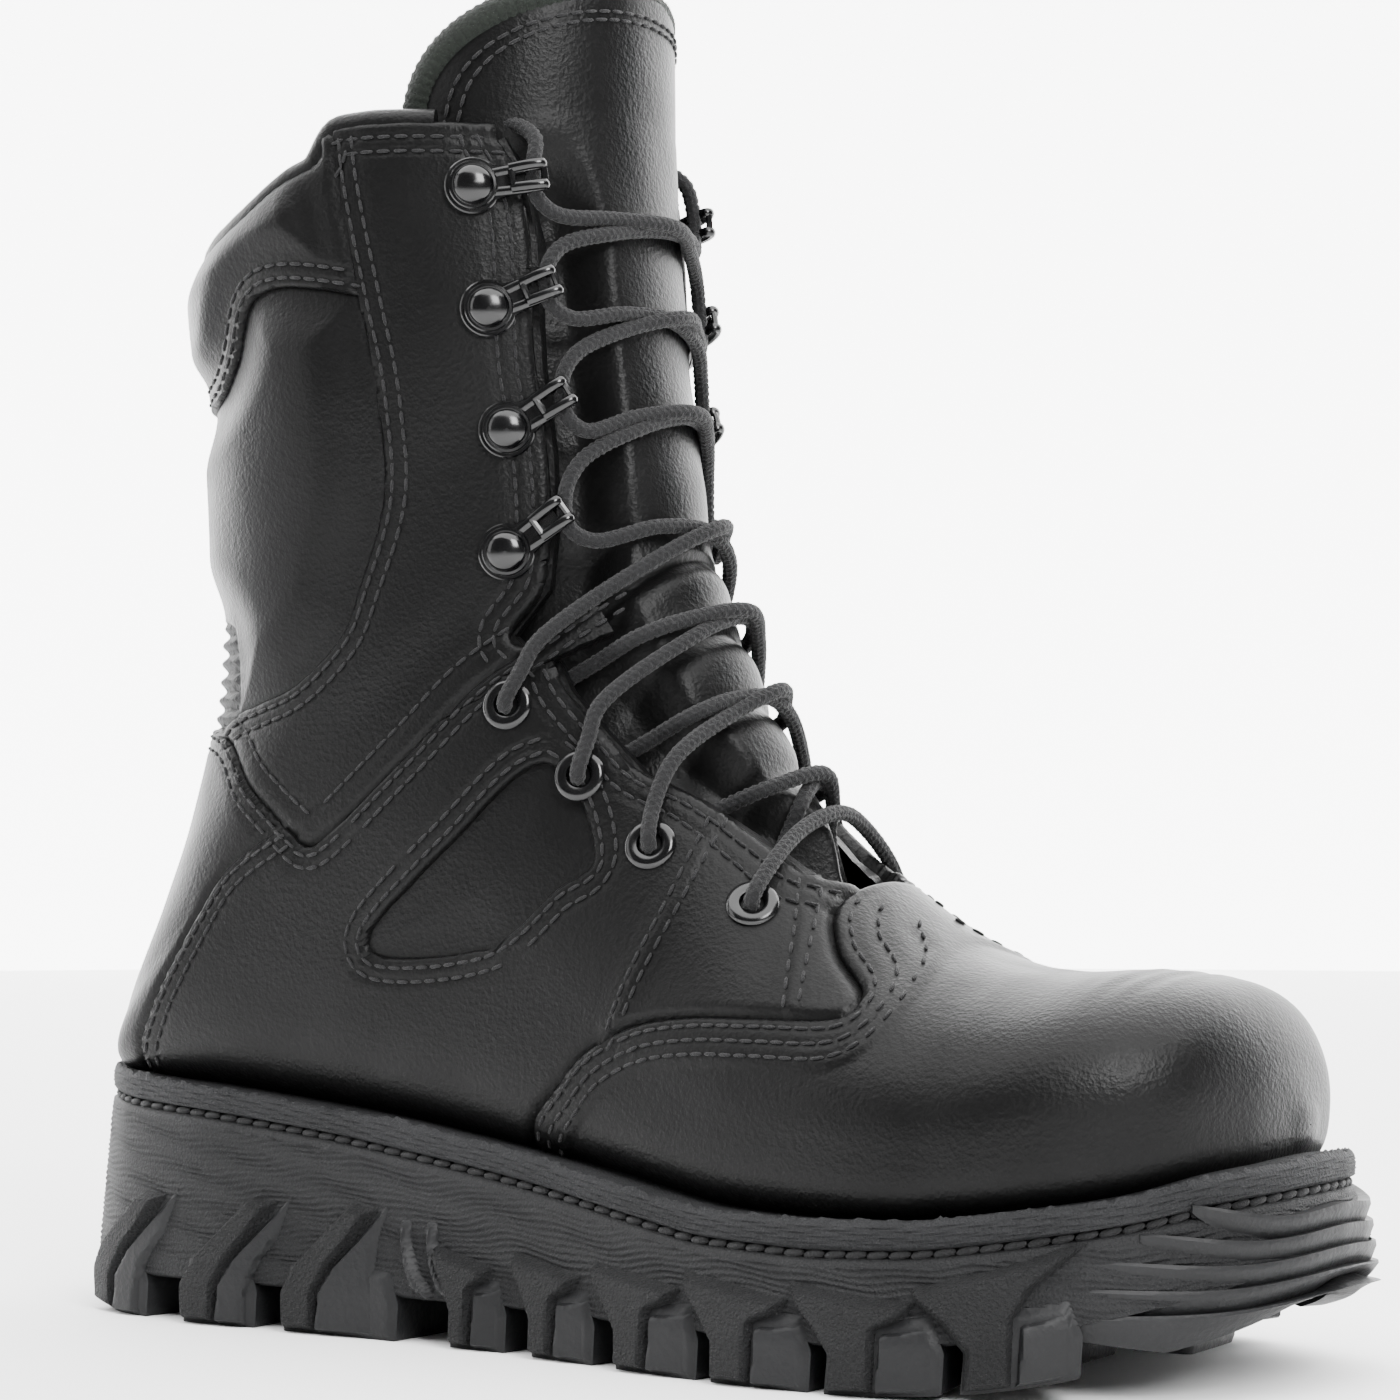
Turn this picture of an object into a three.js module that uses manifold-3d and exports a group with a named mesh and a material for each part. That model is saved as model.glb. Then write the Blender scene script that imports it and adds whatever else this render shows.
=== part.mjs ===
// A lace-up leather fire boot, right foot: welted lug sole, safety toe, speed hooks and eyelets.
// Millimetres. +X points to the toe, +Y to the inner side of the foot, +Z up; z = 0 is the floor.
import * as THREE from "three";
import { mergeVertices } from "three/addons/utils/BufferGeometryUtils.js";
import Module from "manifold-3d";

const wasm = await Module();
wasm.setup();

// ---------- driving dimensions ----------
const LEATHER = 2.2; // thickness of the outer leather
const STIFFENER = 1.8; // toe cap, heel counter, insole board and lace facings
const LINING = 2.0;
const LAYER_GAP = 0.5; // between two layers, measured along a rib
const SEAM_GAP = 0.4; // between two pieces that butt at a seam
const FIT = 0.3; // clearance of a piece in its hole or seat
const COLLAR_FRONT = 263; // height of the shaft's front panels
const COLLAR_DROP = 29; // the padded collar is this much lower at the back
const TONGUE_RISE = 33; // the tongue ends this far above the front panels
const TONGUE_PAD = 6.5;
const TONGUE_EDGE = 3.6;
const BINDING_R = 2.6;
const FOOTBED = 4.0;
const WELT_WIDTH = 3.8;
const WELT_LIP = 1.4; // how far the welt stands above the seat
const WELT_DEPTH = 3.4; // and how far it reaches below it
const STITCH_R = 0.9;
const MIDSOLE = 5.0;
const PLATE = 1.2; // puncture plate
const SHANK = 1.5;
const SIDEWALL_FLARE = 3.5; // how far the outsole's foot stands out from the welt
const TREAD = 13; // depth of the lugs
const LUG_LENGTH = 19;
const LUG_SLANT = 13; // a lug's top lies this much further forward than its foot
const BUTTON_R = 4.9;
const BUTTON_H = 3.0;
const HOOK_REACH = 15.5; // from the button's centre to the tip of the prongs
const HOOK_PLATE = 1.0;
const PRONG_R = 0.95;
const PRONG_SPREAD = 2.1; // from the hook's middle line to the middle of a prong
const STEM_R = 1.4;
const RIVET_R = 3.6;
const EYELET_R = 5.4;
const EYELET_BORE_R = 2.3;
const EYELET_WALL = 0.6;
const LACE_R = 1.4;

// Depths of the layers below the boot's outer surface.
const MIDDLE = LEATHER + LAYER_GAP;
const INNER = MIDDLE + STIFFENER + LAYER_GAP;
const CAVITY = INNER + LINING;

// ---------- the form of the boot ----------
// Ribs and seams are drawn for a collar at DRAWN_COLLAR. Above STRETCH_FROM their heights stretch
// with the real one.
const DRAWN_COLLAR = 263;
const STRETCH_FROM = 60;
function tall(z) {
  const share = (COLLAR_FRONT - STRETCH_FROM) / (DRAWN_COLLAR - STRETCH_FROM);
  return z > STRETCH_FROM ? STRETCH_FROM + (z - STRETCH_FROM) * share : z;
}
function tallLine(line) {
  return line.map(([x, z]) => [x, tall(z)]);
}

// Each rib is a closed section from the sole or back edge to the top or front edge.
// [back x, back z, front x, front z, middle y, outer y, inner y, belly, top roundness, sole roundness]
const RIBS = [
  [142.5, 46, 143.5, 55, 8, 2, 15, 0.45, 0.9, 0.9],
  [139, 41, 141, 67, 8, -15, 29, 0.4, 0.85, 0.75],
  [129.5, 38, 133, 76.5, 6, -34, 39, 0.38, 0.85, 0.55],
  [112, 35, 116, 80, 4, -47, 47, 0.36, 0.85, 0.45],
  [90, 32, 94, 79.5, 2, -53, 50, 0.34, 0.9, 0.4],
  [66, 31, 74, 84, 1, -54, 49, 0.34, 0.95, 0.4],
  [38, 32, 57, 95, 0, -51, 44, 0.34, 1, 0.4],
  [8, 37, 42, 109, 0, -46, 38, 0.36, 1, 0.4],
  [-24, 42, 29, 127, 0, -42, 36, 0.42, 1, 0.4],
  [-60, 47, 20, 144, 0, -41, 37, 0.46, 1, 0.4],
  [-98, 51, 14, 158, 0, -43, 40, 0.5, 1, 0.4],
  [-133, 53, 9, 170, 0, -44, 42, 0.52, 1, 0.46],
  [-140, 60, 6, 181, 0, -44, 43, 0.52, 1, 0.7],
  [-134, 80, 3, 192, 0, -45, 44, 0.52, 1, 0.9],
  [-126, 100, 1, 203, 0, -45, 45, 0.52, 1, 0.95],
  [-118, 126, -1, 214, 0, -46, 46, 0.5, 1, 1],
  [-114, 150, -2, 223, 0, -48, 48, 0.48, 1, 1],
  [-113, 174, -3, 232, 0, -50, 50, 0.46, 1, 1],
  [-114.5, 200, -4, 241, 0, -51, 51, 0.46, 1, 1],
  [-118, 226, -5, 250, 0, -52, 52, 0.46, 1, 1],
  [-118, 246, -5.5, 259, 0, -52, 52, 0.46, 1, 1],
  [-115, 262, -6, 268, 0, -51, 51, 0.46, 1, 1],
].map(([bx, bz, fx, fz, ...round]) => [bx, tall(bz), fx, tall(fz), ...round]);
const TOP_RIB = RIBS.length - 1;
const RISE_PER_RIB = 13; // above the top rib a surface runs straight up
const NOSE_RIBS = 3; // ribs that curve into the toe's end
const AROUND = 20; // sides of a section
const TURNS = 8; // sides of a turned piece and of the hole it sits in

// The welt's plan outline and the tread's underside: [x, outer y, inner y, tread z].
const SOLE = [
  [-146, -7, 7, 10],
  [-143, -18, 17, 6],
  [-136, -28, 27, 3],
  [-122, -38, 36, 0],
  [-100, -43, 41, 0],
  [-70, -43, 39, 0],
  [-40, -44, 37, 0],
  [-10, -46, 38, 0],
  [20, -52, 43, 0],
  [48, -57, 48, 0],
  [76, -58, 52, 0],
  [102, -54, 51, 2],
  [122, -44, 46, 6],
  [138.5, -30, 37, 11],
  [147, -13, 26, 16],
  [150, 2, 14, 20],
];

// ---------- small helpers ----------
function rowAt(rows, t) {
  const last = rows.length - 1;
  const s = Math.min(Math.max(t, 0), last);
  const i = Math.min(Math.floor(s), last - 1);
  const f = s - i;
  const [a, b, c, d] = [-1, 0, 1, 2].map((k) => rows[Math.min(Math.max(i + k, 0), last)]);
  return b.map(
    (_, k) =>
      0.5 *
      (2 * b[k] +
        (c[k] - a[k]) * f +
        (2 * a[k] - 5 * b[k] + 4 * c[k] - d[k]) * f * f +
        (3 * b[k] - a[k] - 3 * c[k] + d[k]) * f * f * f),
  );
}

function valueAt(pairs, t) {
  const i = pairs.findIndex(([at]) => at >= t);
  if (i < 0) return pairs[pairs.length - 1][1];
  if (i === 0) return pairs[0][1];
  const [[t0, v0], [t1, v1]] = [pairs[i - 1], pairs[i]];
  return v0 + ((v1 - v0) * (t - t0)) / (t1 - t0);
}

function ramp(from, to, t) {
  const s = Math.min(Math.max((t - from) / (to - from), 0), 1);
  return s * s * (3 - 2 * s);
}

function steps(from, to, count) {
  return Array.from({ length: count + 1 }, (_, i) => from + ((to - from) * i) / count);
}

// A point of the boot's form, `depth` below its outer surface. v is 0 at the front or top,
// 0.25 on the outer side, 0.5 at the back or sole and -0.25 on the inner side.
function form(u, v, depth = 0) {
  const [bx, bz, fx, fz, mid, outer, inner, belly, topRound, soleRound] = rowAt(RIBS, u);
  const long = Math.hypot(fx - bx, fz - bz);
  const cut = Math.min(depth, 0.32 * long);
  const [dx, dz] = [(fx - bx) / long, (fz - bz) / long];
  const angle = 2 * Math.PI * v;
  const [c, s] = [Math.cos(angle), Math.sin(angle)];
  const power = c > 0 ? topRound : soleRound;
  const share = Math.abs(c) ** power;
  const along = c > 0 ? belly + (1 - belly) * share : belly * (1 - share);
  const edge = s > 0 ? outer : inner;
  const half = Math.abs(edge - mid);
  const width = Math.max(half - depth, Math.min(half, 0.35 * half));
  const from = cut + along * (long - 2 * cut);
  const nose = depth * Math.max(0, 1 - u / NOSE_RIBS);
  const rise = Math.max(0, u - TOP_RIB) * RISE_PER_RIB;
  return new THREE.Vector3(
    bx + dx * from - nose,
    mid + Math.sign(edge - mid) * width * Math.abs(s) ** power,
    bz + dz * from + rise,
  );
}

// The directions at a point of the form: forward round the boot, up along it, and outward.
function frameAt(u, v) {
  const step = 0.02;
  const up = form(u + step, v).sub(form(u - step, v)).normalize();
  const round = form(u, v + step / 4).sub(form(u, v - step / 4)).normalize();
  const out = new THREE.Vector3().crossVectors(up, round).normalize();
  const forward = round.multiplyScalar(-Math.sign(v));
  const along = new THREE.Vector3().crossVectors(out, forward).multiplyScalar(Math.sign(v));
  return new THREE.Matrix4().makeBasis(forward, along.multiplyScalar(Math.sign(v)), out);
}

// A geometry made about the origin, moved to a point of the form with +Z outward and +X forward.
function placed(geometry, u, v) {
  return geometry.applyMatrix4(frameAt(u, v)).translate(...form(u, v).toArray());
}

function geometryOf(points, faces) {
  const geometry = new THREE.BufferGeometry();
  geometry.setAttribute("position", new THREE.Float32BufferAttribute(points.flatMap((p) => p.toArray()), 3));
  geometry.setIndex(faces);
  return geometry;
}

function solid(geometry) {
  const bare = geometry.clone();
  bare.deleteAttribute("normal");
  bare.deleteAttribute("uv");
  const merged = mergeVertices(bare, 1e-4);
  const mesh = new wasm.Mesh({
    numProp: 3,
    vertProperties: new Float32Array(merged.attributes.position.array),
    triVerts: new Uint32Array(merged.index.array),
  });
  return new wasm.Manifold(mesh);
}

function geometryFrom(body) {
  const mesh = body.getMesh();
  const geometry = new THREE.BufferGeometry();
  geometry.setAttribute("position", new THREE.Float32BufferAttribute(mesh.vertProperties, 3));
  geometry.setIndex(new THREE.BufferAttribute(new Uint32Array(mesh.triVerts), 1));
  geometry.computeVertexNormals();
  return geometry;
}

function largest(body) {
  return body.decompose().sort((a, b) => b.volume() - a.volume())[0];
}

function join(bodies) {
  return bodies.reduce((a, b) => a.add(b));
}

// A closed solid from a grid of outer points and a grid of inner points.
function slab(outer, inner) {
  const [rows, columns] = [outer.length, outer[0].length];
  const at = (side, i, j) => side * rows * columns + i * columns + j;
  const faces = [];
  const quad = (a, b, c, d) => faces.push(a, b, c, a, c, d);
  for (let i = 0; i < rows - 1; i++)
    for (let j = 0; j < columns - 1; j++) {
      quad(at(0, i, j), at(0, i + 1, j), at(0, i + 1, j + 1), at(0, i, j + 1));
      quad(at(1, i, j), at(1, i, j + 1), at(1, i + 1, j + 1), at(1, i + 1, j));
    }
  for (let i = 0; i < rows - 1; i++) {
    quad(at(0, i, 0), at(1, i, 0), at(1, i + 1, 0), at(0, i + 1, 0));
    quad(at(0, i, columns - 1), at(0, i + 1, columns - 1), at(1, i + 1, columns - 1), at(1, i, columns - 1));
  }
  for (let j = 0; j < columns - 1; j++) {
    quad(at(0, 0, j), at(0, 0, j + 1), at(1, 0, j + 1), at(1, 0, j));
    quad(at(0, rows - 1, j), at(1, rows - 1, j), at(1, rows - 1, j + 1), at(0, rows - 1, j + 1));
  }
  return solid(geometryOf([...outer.flat(), ...inner.flat()], faces));
}

// A sock: the whole form between two depths, closed at the toe and open at the top.
const SOCK_ROWS = [0, 0.5, 1, 1.5, 2, ...steps(3, 15, 12), 17, 19, TOP_RIB];
function sock(outerDepth, innerDepth) {
  const ring = (u, depth) => Array.from({ length: AROUND }, (_, j) => form(u, j / AROUND, depth));
  const points = [];
  const faces = [];
  const quad = (a, b, c, d) => faces.push(a, b, c, a, c, d);
  [outerDepth, innerDepth].forEach((depth) => SOCK_ROWS.forEach((u) => points.push(...ring(u, depth))));
  const rows = SOCK_ROWS.length;
  const at = (side, i, j) => (side * rows + i) * AROUND + (j % AROUND);
  const tips = [outerDepth, innerDepth].map((depth) => {
    points.push(form(0, 0, depth).add(form(0, 0.5, depth)).multiplyScalar(0.5));
    return points.length - 1;
  });
  for (let j = 0; j < AROUND; j++) {
    for (let i = 0; i < rows - 1; i++) {
      quad(at(0, i, j), at(0, i + 1, j), at(0, i + 1, j + 1), at(0, i, j + 1));
      quad(at(1, i, j), at(1, i, j + 1), at(1, i + 1, j + 1), at(1, i + 1, j));
    }
    faces.push(tips[0], at(0, 0, j), at(0, 0, j + 1), tips[1], at(1, 0, j + 1), at(1, 0, j));
    const top = rows - 1;
    quad(at(0, top, j), at(1, top, j), at(1, top, j + 1), at(0, top, j + 1));
  }
  return solid(geometryOf(points, faces));
}

// A patch of the form: rows along u, `columns` steps across from one edge to the other.
function patch(rows, columns, edges, outerDepth, innerDepth) {
  const grid = (depth) =>
    rows.map((u) => {
      const [from, to] = edges(u);
      return steps(from, to, columns).map((v) => form(u, v, depth(u, v)));
    });
  return slab(grid(outerDepth), grid(innerDepth));
}

// An outline in the side view, as a bar that runs across the boot from y = from to y = to.
const REACH = 100;
function bar(outline, from = -REACH, to = REACH) {
  const shape = new THREE.Shape(outline.map(([x, z]) => new THREE.Vector2(x, z)));
  const geometry = new THREE.ExtrudeGeometry(shape, { depth: to - from, bevelEnabled: false });
  geometry.rotateX(Math.PI / 2).translate(0, to, 0);
  return solid(geometry);
}

// A thin ribbon along a line in the side view.
function ribbon(line) {
  const half = SEAM_GAP / 2;
  const side = (sign) =>
    line.map(([x, z], i) => {
      const [ax, az] = line[Math.max(i - 1, 0)];
      const [bx, bz] = line[Math.min(i + 1, line.length - 1)];
      const long = Math.hypot(bx - ax, bz - az);
      return [x - (sign * half * (bz - az)) / long, z + (sign * half * (bx - ax)) / long];
    });
  return bar([...side(1), ...side(-1).reverse()]);
}

// A curve with one ring of a tube at each of its points.
class Route extends THREE.CatmullRomCurve3 {
  getPointAt(t, target) {
    return this.getPoint(t, target);
  }
  getTangentAt(t, target) {
    return this.getTangent(t, target);
  }
}

function tube(points, radius, sides) {
  const path = new Route(points, false, "centripetal");
  const section = new THREE.Shape(
    Array.from({ length: sides }, (_, i) => {
      const a = (2 * Math.PI * i) / sides;
      return new THREE.Vector2(radius * Math.cos(a), radius * Math.sin(a));
    }),
  );
  const stepCount = points.length - 1;
  return new THREE.ExtrudeGeometry(section, { steps: stepCount, extrudePath: path, bevelEnabled: false });
}

function lathe(profile, segments) {
  const geometry = new THREE.LatheGeometry(
    profile.map(([r, z]) => new THREE.Vector2(r, z)),
    segments,
  );
  return geometry.rotateX(Math.PI / 2);
}

// ---------- the boot's group and its finishes ----------
const boot = new THREE.Group();
boot.name = "fire_boot";
function finish(color, roughness, metalness = 0) {
  return new THREE.MeshStandardMaterial({ color, roughness, metalness });
}
const LEATHER_FINISH = finish(0x2b2b2c, 0.5);
const RUBBER = finish(0x2d2e31, 0.8);
const BLACK_METAL = finish(0x18191a, 0.3, 0.6);
const STEEL = finish(0x9a9da0, 0.4, 0.9);
const FABRIC = finish(0x35383a, 0.95);
const BINDING = finish(0x30342f, 0.95);
const BOARD = finish(0x8a7a5c, 0.9);
const FOAM = finish(0x50545a, 0.9);
const LACE = finish(0x232323, 0.9);

function add(name, shape, material) {
  const geometry = shape.isBufferGeometry ? shape : geometryFrom(shape);
  const mesh = new THREE.Mesh(geometry, material);
  mesh.name = name;
  boot.add(mesh);
  return mesh;
}

const SIDES = [
  { name: "outer", sign: 1, from: -REACH, to: -SEAM_GAP / 2 },
  { name: "inner", sign: -1, from: SEAM_GAP / 2, to: REACH },
];

// ---------- hardware positions: [rib, distance round from the front] ----------
const HOOKS = [
  [19.3, 0.138],
  [17.1, 0.137],
  [14.8, 0.137],
  [12.8, 0.141],
];
const EYELETS = [
  [10.4, 0.165],
  [9.1, 0.161],
  [8.0, 0.153],
  [6.8, 0.122],
];

// ---------- seams, as side-view lines ----------
const THROAT_EDGE = tallLine([
  [-23, 275],
  [-23, 261],
  [-20, 254],
  [-17, 238],
  [-16, 210],
  [-14, 192],
  [-13, 177],
  [-14, 162],
  [-20, 152],
  [-17, 149],
  [-11, 147],
  [-7, 140],
  [1, 131],
  [10, 122],
  [22, 116],
  [36, 106],
  [44, 100],
  [54, 97],
]);
const VAMP_SEAM = tallLine([
  [62, 112],
  [53, 96],
  [58, 85],
  [68, 76],
  [66, 71],
  [49, 71],
  [34, 71],
  [19, 69],
  [6, 63],
  [-2, 55],
  [-10, 46],
  [-18, 24],
]);
const ANKLE_SEAM = tallLine([
  [-140, 134],
  [-99, 132],
  [-84, 119],
  [-72, 109],
  [-64, 107],
  [-42, 125],
  [-27, 140],
  [-15, 149],
  [0, 162],
]);
const COUNTER_SEAM = tallLine([
  [-74, 110.5],
  [-90, 101],
  [-99, 90],
  [-107, 79],
  [-114, 69],
  [-121, 57],
  [-124, 30],
]);
const SHAFT_SEAM = tallLine([
  [-58, 275],
  [-56, 256],
  [-50, 225],
  [-47, 210],
  [-46, 197],
  [-46, 186],
  [-48, 176],
  [-53, 163],
  [-58, 152],
  [-70, 142],
  [-82, 138],
  [-90, 136],
  [-98, 132],
]);
const PAD_ARCH = tallLine([
  [-135, 206],
  [-100, 206],
  [-87, 213],
  [-80, 226],
  [-69, 229],
  [-50.5, 226],
]);
const FLEX_TOP = tallLine([
  [-135, 157],
  [-98, 157],
  [-92, 150],
  [-90, 136],
]);
const PANEL_EDGE = tallLine([
  [-9, 124],
  [-30, 107],
  [-51, 88],
  [-47, 82],
  [-20, 85],
  [-4, 97],
  [4, 104],
  [-9, 124],
]);
const COLLAR_LINE = [
  ...tallLine([
    [-23, 263],
    [-56, 263],
    [-60, 256],
    [-70, 252],
    [-91, 243],
  ]),
  [-135, COLLAR_FRONT - COLLAR_DROP],
];

// ---------- outer leather ----------
const OVER_COLLAR = COLLAR_FRONT + 12;
const SKY = COLLAR_FRONT + 67; // above the whole boot
const THROAT_FOOT = tallLine([[64, 116]])[0];
const throatVoid = bar([...THROAT_EDGE, THROAT_FOOT, [120, THROAT_FOOT[1]], [120, SKY], [-23, SKY]]);
const aboveCollar = bar([...COLLAR_LINE, [-160, COLLAR_FRONT - COLLAR_DROP], [-160, SKY], [-23, SKY]]);
const seams = [VAMP_SEAM, ANKLE_SEAM, COUNTER_SEAM, SHAFT_SEAM, PAD_ARCH, FLEX_TOP, PANEL_EDGE].map(ribbon);
const upper = sock(0, LEATHER).subtract(throatVoid).subtract(aboveCollar);
const hide = seams.reduce((body, seam) => body.subtract(seam), upper);

// A hole drilled square to the surface, with a flat seat for the flange that lies on it.
function drill(u, v, radius, seatRadius) {
  const profile = [
    [0, -15],
    [radius, -15],
    [radius, 0],
    [seatRadius, 0],
    [seatRadius, 9],
    [0, 9],
  ];
  return solid(placed(lathe(profile, TURNS), u, v));
}
const holes = SIDES.flatMap(({ sign }) => [
  ...HOOKS.map(([u, v]) => drill(u, sign * v, STEM_R + FIT, BUTTON_R + 2 * FIT)),
  ...EYELETS.map(([u, v]) => drill(u, sign * v, EYELET_BORE_R + EYELET_WALL + FIT, EYELET_R + FIT)),
]);
const pierced = holes.reduce((body, hole) => body.subtract(hole), hide);

const quarterRegion = [
  ...VAMP_SEAM,
  [-124, 24],
  ...COUNTER_SEAM.slice().reverse(),
  ...ANKLE_SEAM.slice(3),
  THROAT_FOOT,
];
const shaftRegion = [
  ...SHAFT_SEAM,
  ...ANKLE_SEAM.slice(1),
  [20, OVER_COLLAR],
];
const panelRegion = PANEL_EDGE.slice(1);
for (const { name, from, to } of SIDES) {
  const quarter = pierced.intersect(bar(quarterRegion, from, to)).subtract(bar(panelRegion));
  add("quarter_" + name, largest(quarter), LEATHER_FINISH);
  add("ankle_panel_" + name, largest(pierced.intersect(bar(panelRegion, from, to))), LEATHER_FINISH);
  add("shaft_panel_" + name, largest(pierced.intersect(bar(shaftRegion, from, to))), LEATHER_FINISH);
}
add("vamp", largest(hide.intersect(bar([...VAMP_SEAM, [180, 24], [180, 112]]))), LEATHER_FINISH);
const calfRegion = [...PAD_ARCH, ...SHAFT_SEAM.slice(2, -1), ...FLEX_TOP.slice().reverse()];
add("calf_pad", largest(hide.intersect(bar(calfRegion))), LEATHER_FINISH);
const collarRegion = [[-135, OVER_COLLAR], [-58, OVER_COLLAR], SHAFT_SEAM[1], ...PAD_ARCH.slice().reverse()];
add("collar_pad", largest(hide.intersect(bar(collarRegion))), LEATHER_FINISH);
const flexRegion = [...FLEX_TOP, [-98, 132], [-140, 134]];
add("achilles_flex_panel", largest(hide.intersect(bar(flexRegion))), RUBBER);
const counterRegion = [...COUNTER_SEAM, [-160, 30], [-160, 134], ...ANKLE_SEAM.slice(0, 4)];
add("heel_counter_cover", largest(hide.intersect(bar(counterRegion))), LEATHER_FINISH);

// ---------- stiffeners under the leather ----------
const SEAT = [[-147, 54], ...RIBS.slice(1, 12).map(([x, z]) => [x, z]).reverse(), [160, 45]];
const seat = (x) => valueAt(SEAT, x);
const BOARD_RIM = 5.5; // the insole board turns up this far at its edge
const CAP_BACK = 92;
const STIFFENER_FRONT = -74;
const STIFFENER_TOP = 104;
const FACING = [15, 10]; // how far the lace facing reaches back and down from the throat edge
const rimLine = SEAT.map(([x, z]) => [x, z + BOARD_RIM]);
const middle = sock(MIDDLE, MIDDLE + STIFFENER);
const board = middle.intersect(bar([...rimLine, [160, 10], [-147, 10]]));
const boardTop = rimLine.map(([x, z]) => [x, z + SEAM_GAP]);
const aboveBoard = middle.subtract(bar([...boardTop, [160, 0], [-147, 0]]));
add("insole_board", largest(board), BOARD);
const capOutline = [[CAP_BACK, 20], [CAP_BACK + 3, 120], [170, 120], [170, 20]];
add("safety_toe_cap", largest(aboveBoard.intersect(bar(capOutline))), STEEL);
const counterOutline = [
  [-160, 30],
  [STIFFENER_FRONT, 30],
  [STIFFENER_FRONT - 8, STIFFENER_TOP],
  [-160, STIFFENER_TOP + 6],
];
add("heel_stiffener", largest(aboveBoard.intersect(bar(counterOutline))), BOARD);
const facingEdge = THROAT_EDGE.slice(1, -1).concat([[47, 92]]).map(([x, z]) => [x - 0.5, z - 0.5]);
const facingBack = facingEdge.map(([x, z]) => [x - FACING[0], z - FACING[1]]).reverse();
const piercedMiddle = holes.reduce((body, hole) => body.subtract(hole), aboveBoard.subtract(aboveCollar));
for (const { name, from, to } of SIDES) {
  const strip = bar([...facingEdge, ...facingBack], from, to);
  add("lace_facing_" + name, largest(piercedMiddle.intersect(strip)), LEATHER_FINISH);
}

// ---------- lining, tongue and gussets ----------
const TONGUE_FOOT = 5.2; // the rib where the tongue starts, under the vamp
const TONGUE_RIBS = TOP_RIB + (COLLAR_FRONT + TONGUE_RISE - RIBS[TOP_RIB][3]) / RISE_PER_RIB;
const TONGUE_HALF = [
  [TONGUE_FOOT, 0.1],
  [6, 0.13],
  [8, 0.18],
  [11, 0.184],
  [TONGUE_RIBS - 2, 0.184],
  [TONGUE_RIBS - 1, 0.176],
  [TONGUE_RIBS - 0.4, 0.155],
  [TONGUE_RIBS, 0.115],
];
const THROAT_HALF = [
  [5.8, 0.03],
  [6.8, 0.048],
  [7.4, 0.074],
  [8, 0.1],
  [9, 0.13],
  [10.8, 0.137],
  [12, 0.12],
  [15, 0.112],
  [18, 0.106],
  [20.3, 0.12],
  [21.5, 0.184],
];
const SLOT_HALF = 0.222; // the lining stops here, on each side of the throat
const SLOT_FOOT = 5.8;
const TONGUE_HIGH = 2.2; // depth of the tongue's outer face in the open throat
const TONGUE_LOW = 11.2; // and under the lace facings, where the lace runs over it
const TONGUE_UNDER_VAMP = 8.6;
const TONGUE_EASE = 0.031; // the tongue drops to its low depth this far inside the throat's edge
const tongueHalf = (u) => valueAt(TONGUE_HALF, u);
function tongueDepth(u, v) {
  const high = TONGUE_UNDER_VAMP + (TONGUE_HIGH - TONGUE_UNDER_VAMP) * ramp(6.1, 7, u);
  const edge = valueAt(THROAT_HALF, u) - TONGUE_EASE;
  return high + (TONGUE_LOW - high) * ramp(edge - TONGUE_EASE, edge, Math.abs(v));
}
function tongueInnerDepth(u, v) {
  const share = ramp(0.04, tongueHalf(u), Math.abs(v));
  return tongueDepth(u, v) + TONGUE_PAD + (TONGUE_EDGE - TONGUE_PAD) * share;
}
const slot = patch(steps(SLOT_FOOT, TOP_RIB + 2, 18), 12, () => [-SLOT_HALF, SLOT_HALF], () => -8, () => 20);
add("lining", largest(sock(INNER, CAVITY).subtract(slot).subtract(aboveCollar)), FABRIC);
const tongueRows = [5.2, 5.7, 6.2, 6.6, 7, ...steps(8, 21, 13), ...steps(21.7, TONGUE_RIBS, 3)];
const tongueEdges = (u) => [-tongueHalf(u), tongueHalf(u)];
add("tongue", patch(tongueRows, 16, tongueEdges, tongueDepth, tongueInnerDepth), LEATHER_FINISH);

const BINDING_OUT = (BINDING_R + 3 * FIT) / 300; // beside the tongue's edge, as a share of the way round
const bindingSide = (sign) =>
  [19.4, 20.2, 21, 21.8, TONGUE_RIBS - 0.9, TONGUE_RIBS - 0.35].map((u) => {
    const v = tongueHalf(u) + BINDING_OUT * (1 + 1.8 * ramp(TONGUE_RIBS - 1, TONGUE_RIBS, u));
    return form(u, sign * v, TONGUE_LOW + TONGUE_EDGE / 2);
  });
const bindingTop = [0.112, 0.05, 0, -0.05, -0.112].map((v) => {
  const depth = (tongueDepth(TONGUE_RIBS, v) + tongueInnerDepth(TONGUE_RIBS, v)) / 2;
  return form(TONGUE_RIBS + (BINDING_R + 2 * FIT) / RISE_PER_RIB, v, depth);
});
const bindingPath = [...bindingSide(1), ...bindingTop, ...bindingSide(-1).reverse()];
add("tongue_binding", solid(tube(bindingPath, BINDING_R, 8)), BINDING);

const GUSSET_OUT = 5.2;
const GUSSET = 1.2;
for (const { name, sign } of SIDES) {
  const edges = (u) => [tongueHalf(u) + 0.008, SLOT_HALF - 0.008].map((v) => sign * v).sort((a, b) => a - b);
  const strip = patch(steps(8, 20, 12), 2, edges, () => GUSSET_OUT, () => GUSSET_OUT + GUSSET);
  add("tongue_gusset_" + name, strip, FABRIC);
}

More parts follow.
